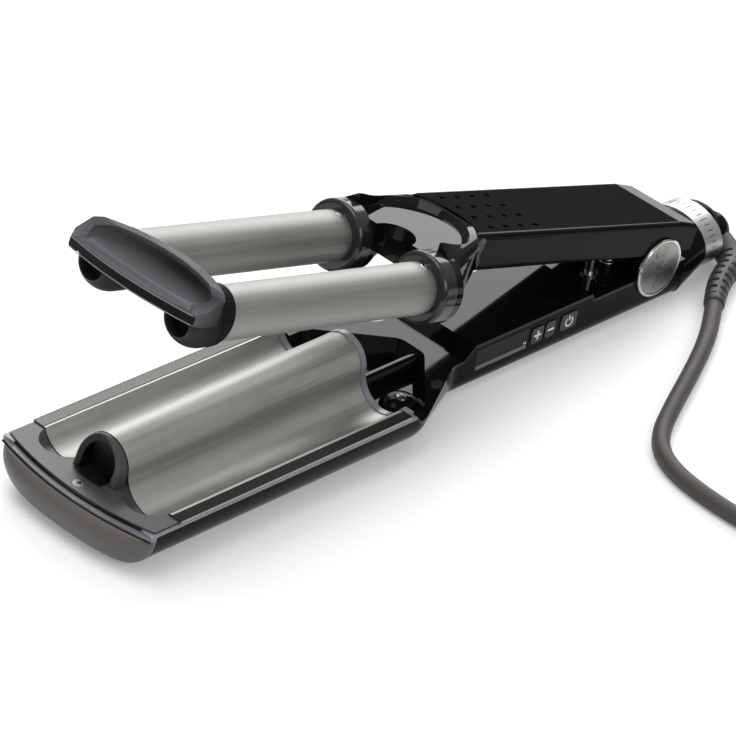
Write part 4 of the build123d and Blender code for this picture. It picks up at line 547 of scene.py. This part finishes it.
LOOKS = {
    "gloss_black": gloss_plastic("gloss_black", BLACK),
    "satin_black": satin_plastic("satin_black", scaled(BLACK, 1.5), 0.34, ior=1.15),
    "bumper_graphite": satin_plastic("bumper_graphite", scaled(WARM_GRAPHITE, 1.7), 0.45, ior=1.4),
    "rest_shaded_graphite": dish_shaded_plastic("rest_shaded_graphite", (0.046, 0.046, 0.051), 0.36),
    "block_black": gloss_plastic("block_black", BLACK, 0.05, 1.27),
    "deck_black": gloss_plastic("deck_black", BLACK, 0.09, 1.27),
    "rail_graphite": satin_plastic("rail_graphite", scaled(GRAPHITE, 4.2), 0.32),
    "collar_black": gloss_plastic("collar_black", (0.012, 0.012, 0.014), 0.24, 1.5),
    "champagne_plate": brushed_metal("champagne_plate", scaled(CHAMPAGNE, 1.15), 0.50),
    "champagne_barrel": brushed_metal("champagne_barrel", scaled(CHAMPAGNE, 0.86), 0.55, tilt=-OPEN_ANGLE),
    # dimmed copy of the plate metal, for painted shade on the far flange
    "champagne_dim": brushed_metal("champagne_dim", scaled(CHAMPAGNE, 0.45), 0.6),
    "silver_trim": plated("silver_trim", SILVER, 0.24),
    "ring_silver": plated("ring_silver", scaled(SILVER, 0.62), 0.55, 800, 0.00008, 0.36),
    "medal_face": plated("medal_face", scaled(SILVER, 0.42), 0.42, 1500, 0.00010, 0.34),
    "steel": plated("steel", STEEL, 0.3),
    "spreader_aluminium": plated("spreader_aluminium", (0.6, 0.6, 0.6), 0.45),
    "heater_ceramic": satin_plastic("heater_ceramic", (0.72, 0.70, 0.65), 0.6),
    "heat_plug": satin_plastic("heat_plug", (0.08, 0.08, 0.08), 0.5),
    "bush_nylon": satin_plastic("bush_nylon", (0.62, 0.61, 0.57), 0.45),
    "board_green": board_laminate("board_green", (0.02, 0.14, 0.06)),
    "switch_black": satin_plastic("switch_black", (0.03, 0.03, 0.03), 0.45),
    "fuse_white": satin_plastic("fuse_white", (0.66, 0.66, 0.64), 0.5),
    "display_glass": gloss_plastic("display_glass", (0.012, 0.0115, 0.011), 0.14, 1.2),
    "display_bars": satin_plastic("display_bars", (0.16, 0.155, 0.15), 0.4),
    "key_face": plated("key_face", (0.055, 0.055, 0.06), 0.12),
    "cord_black": rubber("cord_black", (0.042, 0.037, 0.034)),
    "relief_black": rubber("relief_black", (0.036, 0.032, 0.031), 0.46),
    "hood_shaded_graphite": hood_shaded_plastic("hood_shaded_graphite", (0.036, 0.035, 0.038), 0.38),
    "dark_steel": plated("dark_steel", (0.10, 0.095, 0.09), 0.35),
    "tie_black": rubber("tie_black", (0.02, 0.02, 0.02), 0.5),
}
SLOTS = {row["node"]: row["material_slot"] for row in frame["record"]["subparts"]}
OTHER_LOOK = {
    "barrel_near": "champagne_barrel",
    "barrel_far": "champagne_barrel",
    "barrel_collar_near": "collar_black",
    "barrel_collar_far": "collar_black",
    "tip_bumper": "bumper_graphite",
    "plate_frame": "rail_graphite",
    "tail_ring": "ring_silver",
    "button_plus": "key_face",
    "button_minus": "key_face",
    "button_power": "key_face",
    "tip_cap": "hood_shaded_graphite",
    "tip_cap_screw": "dark_steel",
    "tip_bridge": "rest_shaded_graphite",
    "barrel_block": "block_black",
    "lower_deck": "deck_black",
}
# width in mm of the rounding on the sharp edges of a node
SOFT_EDGE = {
    "tip_bridge": 0.9,
    "tip_cap": 0.35,
    "barrel_block": 0.5,
    "upper_cover": 0.4,
    "lower_housing": 0.3,
}


def soften_edges(obj, width):
    """Small rounding on the sharp edges."""
    bevel = obj.modifiers.new("soft_edges", "BEVEL")
    bevel.width = width * MM
    bevel.segments = 2
    bevel.limit_method = "ANGLE"
    bevel.angle_limit = radians(35)
    bevel.harden_normals = False


def dress_nodes():
    """Every carried-over CAD node gets its look, smooth shading and, where it shows, softer edges."""
    for name, obj in nodes.items():
        obj.data.materials.clear()
        obj.data.materials.append(LOOKS[OTHER_LOOK.get(name, SLOTS[name])])
        if not obj.hide_render:
            smooth(obj)
        if name in SOFT_EDGE:
            soften_edges(obj, SOFT_EDGE[name])


dress_nodes()

# ---- cord --------------------------------------------------------------------------------------------------
CORD_R = 4.0
CORD_ROUTE = [
    (21.0, -40.4, 5.4),
    (10.0, -48.3, 4.6),
    (-2.2, -56.1, 4.1),
    (-14.9, -62.9, 4.0),
    (-29.0, -70.0, 4.0),
    (-44.5, -77.3, 4.0),
    (-60.5, -85.0, 4.0),
    (-75.0, -92.6, 4.0),
    (-86.5, -102.0, 4.0),
    (-93.5, -115.0, 4.0),
    (-96.6, -131.0, 4.0),
    (-97.4, -149.0, 4.1),
    (-97.0, -167.0, 4.4),
    (-97.2, -183.2, 4.8),
]
CORD_END_ROUTE = [
    (9.0, -216.0, 20.8),
    (15.6, -202.8, 18.0),
    (19.4, -188.6, 13.0),
    (20.8, -174.2, 8.8),
    (21.0, -161.5, 6.9),
]
COIL_CENTRE = (-43.0, -206.0)
# radius and height of each turn, in the order in which they were wound
COIL_CELLS = [
    (54, 4.8),
    (46, 4.8),
    (38, 4.8),
    (38, 12.8),
    (38, 20.8),
    (46, 20.8),
    (46, 12.8),
    (54, 12.8),
    (54, 20.8),
]
COIL_STEPS = 24           # points in each turn
COIL_LAG = 2              # steps by which each change of cell comes earlier in its turn
COIL_CHANGE = 2           # steps that a change of cell takes
COIL_END = 202            # step at which the cord leaves the coil for the plug
TIE_ANGLE = radians(300)
TIE_WIDTH = 5.0
TIE_T = 0.8
TIE_STEPS = 6             # steps in each rounded corner of the tie


def coil_points():
    """Turns of the coil: three by three cells, filled one after the other."""
    turn = COIL_STEPS - COIL_LAG
    points = []
    for step in range(COIL_END):
        cell = min(step // turn, len(COIL_CELLS) - 1)
        radius, height = COIL_CELLS[cell]
        ahead = COIL_CELLS[min(cell + 1, len(COIL_CELLS) - 1)]
        share = max(0, step % turn - (turn - COIL_CHANGE - 1)) / (COIL_CHANGE + 1)
        radius += (ahead[0] - radius) * share
        height += (ahead[1] - height) * share
        angle = pi + 2 * pi * step / COIL_STEPS
        points.append((COIL_CENTRE[0] + radius * cos(angle), COIL_CENTRE[1] + radius * sin(angle), height))
    return points


def make_tie():
    """Flat band round the coil, just outside its turns."""
    low_r, high_r = COIL_CELLS[2][0] - CORD_R, COIL_CELLS[0][0] + CORD_R
    low_z, high_z = COIL_CELLS[0][1] - CORD_R, COIL_CELLS[4][1] + CORD_R
    reach = CORD_R + TIE_T / 2
    away = Vector((cos(TIE_ANGLE), sin(TIE_ANGLE), 0))
    across = (-sin(TIE_ANGLE), cos(TIE_ANGLE), 0)
    corners = ((high_r, high_z, 0), (low_r, high_z, 1), (low_r, low_z, 2), (high_r, low_z, 3))
    loop = []
    for radius, height, quarter in corners:
        middle_r = radius + (CORD_R if radius == low_r else -CORD_R)
        middle_z = height + (CORD_R if height == low_z else -CORD_R)
        for step in range(TIE_STEPS + 1):
            turn = pi / 2 * (quarter + step / TIE_STEPS)
            place = Vector((*COIL_CENTRE, 0)) + away * (middle_r + reach * cos(turn))
            place.z = middle_z + reach * sin(turn)
            loop.append(place * MM)
    size = (TIE_WIDTH * MM, TIE_T * MM)
    return strip("cord_tie", loop, across, *size, "tie_black", LOWER_ARM, "cord_black", closed=True)


RELIEF_ROUTE = [
    (60.5, -8.0, 9.5),
    (59.0, -17.5, 7.2),
    (52.0, -24.3, 6.7),
    (42.5, -27.6, 6.7),
    (32.0, -32.6, 6.5),
    (21.0, -40.4, 5.4),
]
RELIEF_ROOT_R = 6.6
RELIEF_END_R = 4.8
SLOT_FIRST = 13.0         # distance to the first slot, mm
SLOT_PITCH = 5.3
SLOT_WIDTH = 2.0
SLOT_DEPTH = 1.7
SLOT_LAST = 51.0
SLOT_ROWS = 3             # rows of slots round the sleeve, one at each crest of a wave
SLOT_PHASE = 0.4          # phase of the wave, radians
SLOT_SPAN = 0.3           # height of the wave from which there is a slot
SLOT_FADE = 0.15          # how much higher the wave is where the slot has its full depth
SLOT_RAMP = 0.3           # slope at the two ends of a slot, mm
END_RUN = 1.0             # length of the rounded end, mm
END_DROP = 0.4            # by which its radius gets smaller
RELIEF_STEP = 0.35        # distance between the sleeve's rings, mm
COLLAR_X = 56.3           # rear face of the swivel collar, with its clearance
COLLAR_R = 13.7
COLLAR_AXIS_Z = 14.0


def make_relief():
    """Tapered strain relief with rows of slots round it; it starts inside the knuckle."""
    line = even_points(line_points(RELIEF_ROUTE), RELIEF_STEP * MM)
    length = path_length(line) / MM

    def radius(gone, angle):
        run = gone / MM
        reach = RELIEF_ROOT_R + (RELIEF_END_R - RELIEF_ROOT_R) * run / length
        if SLOT_FIRST < run < SLOT_LAST:
            place = (run - SLOT_FIRST) % SLOT_PITCH
            edge = min(place, SLOT_WIDTH - place)
            wave = abs(sin(SLOT_ROWS / 2 * angle + SLOT_PHASE))
            if edge > 0 and wave > SLOT_SPAN:
                reach -= SLOT_DEPTH * min(1, edge / SLOT_RAMP) * min(1, (wave - SLOT_SPAN) / SLOT_FADE)
        if run > length - END_RUN:
            reach -= END_DROP * (run - length + END_RUN) ** 2
        return reach * MM

    relief = tube("relief_sleeve", line, radius, "relief_black", LOWER_ARM, sides=48)
    for vertex in relief.data.vertices:
        x, y, z = vertex.co / MM
        off = hypot(y, z - COLLAR_AXIS_Z)
        if x < COLLAR_X and off < COLLAR_R:
            push = COLLAR_R / off
            vertex.co = world_point(x, y * push, COLLAR_AXIS_Z + (z - COLLAR_AXIS_Z) * push)
    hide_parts("strain_relief")
    return relief


def make_cord():
    """The cord's whole length: free run, coil, and the end to the plug."""
    route = CORD_ROUTE + coil_points() + CORD_END_ROUTE
    line = line_points(route)
    bevelled = spline_object("cord_line", route, CORD_R * MM)
    mesh = bpy.data.meshes.new_from_object(bevelled)
    mesh.name = "mains_cord"
    cord = bpy.data.objects.new("mains_cord", mesh)
    bpy.context.scene.collection.objects.link(cord)
    mesh.materials.clear()
    mesh.materials.append(LOOKS["cord_black"])
    smooth(cord, 60)
    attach(cord, LOWER_ARM)
    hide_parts("cord", "cord_coil", "cord_end")
    make_relief()
    make_tie()


make_cord()

# ---- jaw: painted shade in the gap before the wave plate, on its flanges and in the seams of the nose ------
PLATE_FRONT = -312.0
PLATE_REAR = -180.0
VALLEY_Y = 24.5
VALLEY_R = 12.8
WAVE_Z = 4.9
FLANGE_Z = -0.3
FLANGE_Y = 42.8
RIDGE_R = VALLEY_Y - VALLEY_R
EDGE_Y = VALLEY_Y + sqrt(VALLEY_R**2 - (WAVE_Z - FLANGE_Z) ** 2)
# width and thickness of the black strip of painted shade in the gap before the wave plate
GAP_WIDTH = 0.55
GAP_T = 0.2
# middle and width of each strip of painted shade that dims the reflection of the flanges beside the plate, in
# mm across the jaw, and its look
FLANGE_SHADE_STRIPS = {
    "near": (-40.1, 5.0, "satin_black"),
    "far": (39.8, 5.2, "champagne_dim"),
    "far_rim": (42.6, 0.4, "satin_black"),
}
FLANGE_SHADE_T = 0.24
# foremost point, place of the sides, half width, height and radius of each black line of painted shade in a
# seam across the front
SEAM_SHADES = {
    "cap_seam_shade": (-331.6, -325.6, 42.1, -2.35, 0.38),
    "nose_seam_shade": (-334.0, -328.2, 43.0, -4.0, 0.42),
}


def arc(centre, radius, start, end, steps=16):
    """Points on an arc, in sketch millimetres, angles in radians."""
    angles = [start + (end - start) * step / steps for step in range(steps + 1)]
    return [(centre[0] + radius * cos(a), centre[1] + radius * sin(a)) for a in angles]


def wave_outline():
    """The wave plate's top, from edge to edge across the jaw."""
    start = 2 * pi + atan2(FLANGE_Z - WAVE_Z, VALLEY_Y - EDGE_Y)
    left = arc((-VALLEY_Y, WAVE_Z), VALLEY_R, start, 2 * pi)
    ridge = arc((0, WAVE_Z), RIDGE_R, pi, 0)
    right = [(-y, z) for y, z in reversed(left)]
    return [(-FLANGE_Y, FLANGE_Z)] + left + ridge[1:] + right[1:] + [(FLANGE_Y, FLANGE_Z)]


def nose_line(nose, side_x, half, z, steps=40):
    """Points on the shallow arc across the front of the jaw."""
    radius = (half**2 + (side_x - nose) ** 2) / (2 * (side_x - nose))
    points = []
    for step in range(steps + 1):
        y = half * (2 * step / steps - 1)
        points.append(lower_point(nose + radius - sqrt(radius**2 - y**2), y, z))
    return points


def make_jaw_lines():
    """Painted shade: a black strip in the gap before the wave plate, strips that dim the reflection of its
    flanges along its edges, and black lines in the seams across the front.
    """
    line = [lower_point(PLATE_FRONT - GAP_WIDTH / 2, y, z + GAP_T / 2) for y, z in wave_outline()]
    strip("plate_gap_shade", line, (1, 0, 0), GAP_WIDTH * MM, GAP_T * MM, "satin_black", LOWER_ARM, "satin_black")
    # strips of painted shade over the flanges, dimming their reflection
    for name, (y, width, look) in FLANGE_SHADE_STRIPS.items():
        edge = [lower_point(x, y, FLANGE_Z + FLANGE_SHADE_T / 2) for x in (PLATE_FRONT, PLATE_REAR)]
        size = (width * MM, FLANGE_SHADE_T * MM)
        strip(f"plate_edge_shade_{name}", edge, (0, 1, 0), *size, look, LOWER_ARM, "champagne_plate")
    # black lines of painted shade in the seams across the nose
    for name, (*place, radius) in SEAM_SHADES.items():
        tube(name, nose_line(*place), radius * MM, "satin_black", LOWER_ARM, sides=8)


make_jaw_lines()

# ---- painted glints on the barrels -------------------------------------------------------------------------
# bright silver dots on top of the barrels, painted glints
GLINT_X = -177.0
GLINT_Z = 17.75
GLINT_DOTS = {"near": (-26.1, -0.21), "far": (23.4, -0.03)}    # place across the arm, and sideways lean
GLINT_PROFILE = [(2.1, -0.6), (2.1, -0.05), (1.8, 0.12), (1.3, 0.15), (0.9, -0.05), (0.01, -0.1)]


def make_glint_dots():
    """Small bright silver dot on top of each barrel, where it enters its collar: a painted glint."""
    for name, (y, lean) in GLINT_DOTS.items():
        place = upper_point(GLINT_X, y, GLINT_Z)
        axis = upper_point(GLINT_X, y + lean, GLINT_Z + 1) - place
        glint_piece = f"barrel_glint_{name}"
        lathe(glint_piece, GLINT_PROFILE, place, axis, "silver_trim", UPPER_ARM, sides=28)


make_glint_dots()

# ---- thumb rest: painted shade and painted highlights on the lip, and the fine lines behind it -------------
LIP_NOSE = -328.5
LIP_SIDE = -324.5
LIP_HALF = 35.0
LIP_TOP = 13.6
LIP_FOOT = 9.1
DISH_TILT = radians(10.1)
LIP_RADIUS = (LIP_HALF**2 + (LIP_SIDE - LIP_NOSE) ** 2) / (2 * (LIP_SIDE - LIP_NOSE))
LIP_STEPS = 40
LIP_SHADE_WIDTH = 3.0
LIP_SHADE_T = 0.3
LIP_SHADE_MIDDLE = LIP_TOP - 2.2
LIP_SHADE_OUT = 0.1            # by which the middle of the strip of painted shade lies before the lip
LIP_HIGHLIGHT_R = 0.22             # radius of the bright lines of painted highlight at the lip's edges
LIP_HIGHLIGHT_OUT = 0.2
LIP_HIGHLIGHT_HALF = LIP_HALF - 1
LIP_HIGHLIGHTS = {"top": LIP_TOP - 0.45, "foot": LIP_FOOT + 0.2}
REST_LINES = 6            # fine lines across the front of the dish
REST_LINE_R = 0.15
REST_LINE_FIRST = 0.9     # distance of the first one from the front edge
REST_LINE_PITCH = 1.0
REST_LINE_HALF = 31.0     # half the length of the first one
REST_LINE_SHORTER = 0.4   # by which each of the others gets shorter at both ends


def lip_run(y):
    """How far the lip lies behind its foremost point, at this distance from the middle."""
    return LIP_RADIUS - sqrt(LIP_RADIUS**2 - y**2)


def lip_points(half, place):
    """Points across the thumb rest, each at place(y) in the arm's x and z."""
    points = []
    for step in range(LIP_STEPS + 1):
        y = half * (2 * step / LIP_STEPS - 1)
        x, z = place(y)
        points.append(upper_point(x, y, z))
    return points


def front_line(out, half, z):
    """Points along the lip, this far before it and at this height."""
    return lip_points(half, lambda y: (LIP_NOSE + lip_run(y) - out, z))


def dish_line(back, half):
    """Points across the dish's floor, this far behind its front edge."""

    def on_floor(y):
        run = lip_run(y) + back
        return LIP_NOSE + run * cos(DISH_TILT), LIP_TOP + run * sin(DISH_TILT)

    return lip_points(half, on_floor)


def make_lip():
    """Black strip of painted shade on the lip, bright lines of painted highlight on its edges, and the fine
    lines in the dish.
    """
    up = upper_point(0, 0, 1) - upper_point(0, 0, 0)
    # black strip of painted shade across the front of the lip
    line = front_line(LIP_SHADE_OUT, LIP_HALF, LIP_SHADE_MIDDLE)
    strip("lip_shade_strip", line, up, LIP_SHADE_WIDTH * MM, LIP_SHADE_T * MM, "satin_black", UPPER_ARM, "satin_black")
    for number in range(REST_LINES):
        back = REST_LINE_FIRST + REST_LINE_PITCH * number
        line = dish_line(back, REST_LINE_HALF - REST_LINE_SHORTER * number)
        name = f"rest_line_{number + 1}"
        tube(name, line, REST_LINE_R * MM, "rail_graphite", UPPER_ARM, sides=8)
    # bright lines of painted highlight along the lip's top and foot
    for name, z in LIP_HIGHLIGHTS.items():
        line = front_line(LIP_HIGHLIGHT_OUT, LIP_HIGHLIGHT_HALF, z)
        tube(f"lip_highlight_{name}", line, LIP_HIGHLIGHT_R * MM, "rail_graphite", UPPER_ARM, sides=8)


make_lip()

# ---- controls ----------------------------------------------------------------------------------------------
WALL_Y = -21.0
DISPLAY_X = (-116.0, -84.0)
CONTROL_Z = -7.8
BAR_COUNT = 30
BAR_Z = -11.6
BAR_HEIGHT = 1.9
BAR_SHARE = 0.5           # width of a bar, as a share of their pitch
DOT_Z = -9.6
DOT_SIZE = (0.7, 0.9)
DOT_T = 0.14
DOT_FROM_END = (1.8, 0.6)
BUTTONS = {"plus": -77.8, "minus": -69.4, "power": -57.4}
BUTTON_PROUD = 0.6
MARK_T = 0.12
MARK_WIDTH = 1.0          # width of the strokes of plus and minus
PLUS_REACH = 2.2
MINUS_LENGTH = 3.9
POWER_R = 2.2
POWER_WIDTH = 0.8
POWER_GAP = radians(80)
POWER_DROP = 0.2          # by which the ring's centre lies below the middle of the key
POWER_BAR = (1.7, 2.4)    # height of the bar's middle above the key's, and its length


def on_wall(u, v, out):
    """Point on the near wall: u along it, v up, out towards the viewer."""
    return lower_point(u, WALL_Y - out, v)


def on_key(u, v, out):
    """The same on the face of a key."""
    return on_wall(u, v, out + BUTTON_PROUD)


def make_controls():
    """Scale and dots of the display, and the marks on the keys."""
    pitch = (DISPLAY_X[1] - DISPLAY_X[0]) / BAR_COUNT
    places = [DISPLAY_X[0] + pitch * (k + 0.5) for k in range(BAR_COUNT)]
    bars = [bar(x, BAR_Z, pitch * BAR_SHARE, BAR_HEIGHT) for x in places]
    plates("display_scale", bars, MARK_T, on_wall, "display_bars", LOWER_ARM)
    dots = [bar(DISPLAY_X[1] - back, DOT_Z, *DOT_SIZE) for back in DOT_FROM_END]
    plates("display_dots", dots, DOT_T, on_wall, "silver_trim", LOWER_ARM)
    marks = {
        "plus": [cross(BUTTONS["plus"], CONTROL_Z, PLUS_REACH, MARK_WIDTH)],
        "minus": [bar(BUTTONS["minus"], CONTROL_Z, MINUS_LENGTH, MARK_WIDTH)],
        "power": [
            open_ring(BUTTONS["power"], CONTROL_Z - POWER_DROP, POWER_R, POWER_WIDTH, POWER_GAP),
            bar(BUTTONS["power"], CONTROL_Z + POWER_BAR[0], POWER_WIDTH, POWER_BAR[1]),
        ],
    }
    for key, outlines in marks.items():
        plates(f"{key}_mark", outlines, MARK_T, on_key, "silver_trim", f"{key}_key")


make_controls()

# ---- hinge medallions and tail ring ------------------------------------------------------------------------
MEDAL_OUT = 22.55         # outer face of the medallions
FACE_PROFILE = [(0.01, -0.2), (12.5, -0.2), (12.5, 0.10), (9.0, 0.16), (0.01, 0.2)]
RIM_PROFILE = [(12.4, -0.3), (13.9, -0.3), (13.9, -0.05), (13.5, 0.3), (12.9, 0.35), (12.4, 0.1)]
RING_X = (38.7, 50.4)
RING_HALF = (18.3, 14.0)
RING_Z = -8.5
TICKS = 36
TICK_LENGTHS = (5.0, 3.2, 3.2)    # in turn round the ring
TICK_TURN = 0.022         # width of a tick, radians
TICK_T = 0.08
TICK_SUNK = 0.04


def make_medallions():
    """Face and raised rim of each hinge medallion."""
    parts = {"face": (FACE_PROFILE, "medal_face"), "rim": (RIM_PROFILE, "silver_trim")}
    for name, side in (("near", -1), ("far", 1)):
        place, axis = lower_point(0, side * MEDAL_OUT, 0), (0, side, 0)
        for part, (profile, look) in parts.items():
            lathe(f"medal_{part}_{name}", profile, place, axis, look, LOWER_ARM, sides=64)


def make_ring_ticks():
    """Short ticks round the tail ring, as on a graduated collar."""
    outlines = []
    for tick in range(TICKS):
        outlines.append(bar(0, 2 * pi * tick / TICKS, TICK_LENGTHS[tick % 3], TICK_TURN))

    def on_ring(u, v, out):
        normal = Vector((0, cos(v) / RING_HALF[0], sin(v) / RING_HALF[1])).normalized()
        place = lower_point(sum(RING_X) / 2 - u, RING_HALF[0] * cos(v), RING_Z + RING_HALF[1] * sin(v))
        return place + normal * ((out - TICK_SUNK) * MM)

    plates("ring_ticks", outlines, TICK_T, on_ring, "satin_black", LOWER_ARM)


make_medallions()
make_ring_ticks()

# ---- opening spring ----------------------------------------------------------------------------------------
SPRING_PLACE = (-12.0, -2.5)
SPRING_R = 3.4
SPRING_WIRE = 1.1
SPRING_BOTTOM = -2.6
SPRING_TOP = 8.4
SPRING_TURNS = 6.5
SPRING_FLAT = 0.75        # turns that lie flat at each end
SPRING_STEPS = 28         # steps in each turn


def make_spring():
    """Coil spring with closed ends."""
    x, y = SPRING_PLACE
    low, high = SPRING_BOTTOM + SPRING_WIRE / 2, SPRING_TOP - SPRING_WIRE / 2
    line = []
    for step in range(int(SPRING_TURNS * SPRING_STEPS) + 1):
        turns = step / SPRING_STEPS
        share = (turns - SPRING_FLAT) / (SPRING_TURNS - 2 * SPRING_FLAT)
        height = low + (high - low) * min(1, max(0, share))
        angle = 2 * pi * turns
        line.append(lower_point(x + SPRING_R * cos(angle), y + SPRING_R * sin(angle), height))
    spring = tube("spring_coil", line, SPRING_WIRE / 2 * MM, "steel", LOWER_ARM, sides=12)
    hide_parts("opening_spring")
    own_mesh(spring)


make_spring()

# ---- screws in the recess behind the plate -----------------------------------------------------------------
RECESS_SCREW_X = -161.5
RECESS_SCREW_Y = {"near": -20.5, "far": 20.5}
PIT_FLOOR = -14.0
BOSS_PROFILE = [
    (9.2, -0.3),
    (9.0, 0.8),
    (8.0, 2.5),
    (6.4, 3.7),
    (4.4, 4.4),
    (2.9, 4.6),
    (2.9, 4.1),
    (0.01, 4.1),
]
HEAD_PROFILE = [(0.01, 3.8), (2.5, 3.8), (2.6, 4.4), (2.2, 4.9), (1.2, 5.15), (0.01, 5.2)]
DRIVE_Z = 5.1             # height above the floor of the pit at which the black cross of painted shade in the head's recess begins
DRIVE_T = 0.14
DRIVE_REACH = 1.4
DRIVE_WIDTH = 0.5


def make_recess_screw(name, y):
    """Rounded boss with a cross-head screw in it, and a black cross of painted shade for the head's recess.
    """
    place = lower_point(RECESS_SCREW_X, y, PIT_FLOOR)

    def on_head(u, v, out):
        return place + world_point(u, v, DRIVE_Z + out)

    lathe(f"screw_boss_{name}", BOSS_PROFILE, place, (0, 0, 1), "gloss_black", LOWER_ARM)
    lathe(f"recess_screw_{name}", HEAD_PROFILE, place, (0, 0, 1), "dark_steel", LOWER_ARM, sides=28)
    # black cross of painted shade where the head's recess is
    drive = [cross(0, 0, DRIVE_REACH, DRIVE_WIDTH)]
    plates(f"screw_recess_shade_{name}", drive, DRIVE_T, on_head, "satin_black", LOWER_ARM)


for near_or_far, screw_y in RECESS_SCREW_Y.items():
    make_recess_screw(near_or_far, screw_y)

# ---- floor, light and world --------------------------------------------------------------------------------
FLOOR_SIZE = 8.0
FLOOR_COLOUR = 0.80
FLOOR_LIFT = 0.20         # white added where the floor is seen, so that it reads as a white ground
# brightness of the surround at each height, from the horizon to straight up
WORLD_STOPS = ((0.0, 0.14), (0.12, 0.16), (0.35, 0.50), (0.7, 0.60), (1.0, 0.55))
# place, aim, width, length and power of each lamp, in metres and watts
SOFTBOXES = {
    "back_softbox": ((1.05, 0.85, 0.86), (-0.12, 0, 0.05), 1.5, 1.2, 22),
    "top_softbox": ((-0.45, 0.25, 1.35), (-0.15, 0, 0.03), 1.1, 0.8, 9),
    "near_fill": ((-0.5, -1.35, 0.95), (-0.1, 0, 0.03), 0.9, 0.6, 6),
}


def seen_directly(tree):
    """1 for camera, mirror and glass rays, else 0."""
    ways = tree.nodes.new("ShaderNodeLightPath")
    seen = ways.outputs["Is Camera Ray"]
    for way in ("Is Transmission Ray", "Is Glossy Ray"):
        either = tree.nodes.new("ShaderNodeMath")
        either.operation = "MAXIMUM"
        tree.links.new(seen, either.inputs[0])
        tree.links.new(ways.outputs[way], either.inputs[1])
        seen = either.outputs[0]
    return seen


def make_floor():
    """Plain pale floor, lifted to white where it is seen."""
    bpy.ops.mesh.primitive_plane_add(size=FLOOR_SIZE)
    floor = bpy.context.object
    floor.name = "floor"
    material = bpy.data.materials.new("floor")
    material.use_nodes = True
    tree = material.node_tree
    shader = tree.nodes["Principled BSDF"]
    shader.inputs["Base Color"].default_value = (FLOOR_COLOUR,) * 3 + (1,)
    shader.inputs["Roughness"].default_value = 0.9
    shader.inputs["Specular IOR Level"].default_value = 0.1
    shader.inputs["Emission Color"].default_value = (1, 1, 1, 1)
    lift = tree.nodes.new("ShaderNodeMath")
    lift.operation = "MULTIPLY"
    lift.inputs[1].default_value = FLOOR_LIFT
    tree.links.new(seen_directly(tree), lift.inputs[0])
    tree.links.new(lift.outputs[0], shader.inputs["Emission Strength"])
    floor.data.materials.append(material)


def area_light(name, place, target, width, length, power):
    """Rectangular lamp, turned to its target."""
    data = bpy.data.lights.new(name, "AREA")
    data.energy = power
    data.shape = "RECTANGLE"
    data.size = width
    data.size_y = length
    light = bpy.data.objects.new(name, data)
    bpy.context.scene.collection.objects.link(light)
    light.location = place
    light.rotation_euler = (Vector(target) - Vector(place)).to_track_quat("-Z", "Y").to_euler()


def make_world():
    """Studio surround: dark low down and bright above."""
    world = bpy.data.worlds.new("studio")
    world.use_nodes = True
    bpy.context.scene.world = world
    tree = world.node_tree
    back = tree.nodes["Background"]
    place = tree.nodes.new("ShaderNodeTexCoord")
    split = tree.nodes.new("ShaderNodeSeparateXYZ")
    tree.links.new(place.outputs["Generated"], split.inputs[0])
    rise = tree.nodes.new("ShaderNodeValToRGB")
    ramp = rise.color_ramp.elements
    ramp[1].position = WORLD_STOPS[-1][0]
    for position, _ in WORLD_STOPS[1:-1]:
        ramp.new(position)
    for element, (_, level) in zip(ramp, WORLD_STOPS):
        element.color = (level, level, level, 1)
    tree.links.new(split.outputs["Z"], rise.inputs["Fac"])
    tree.links.new(rise.outputs["Color"], back.inputs["Color"])


make_floor()
make_world()
for softbox, settings in SOFTBOXES.items():
    area_light(softbox, *settings)
bpy.context.scene.view_settings.view_transform = "Standard"
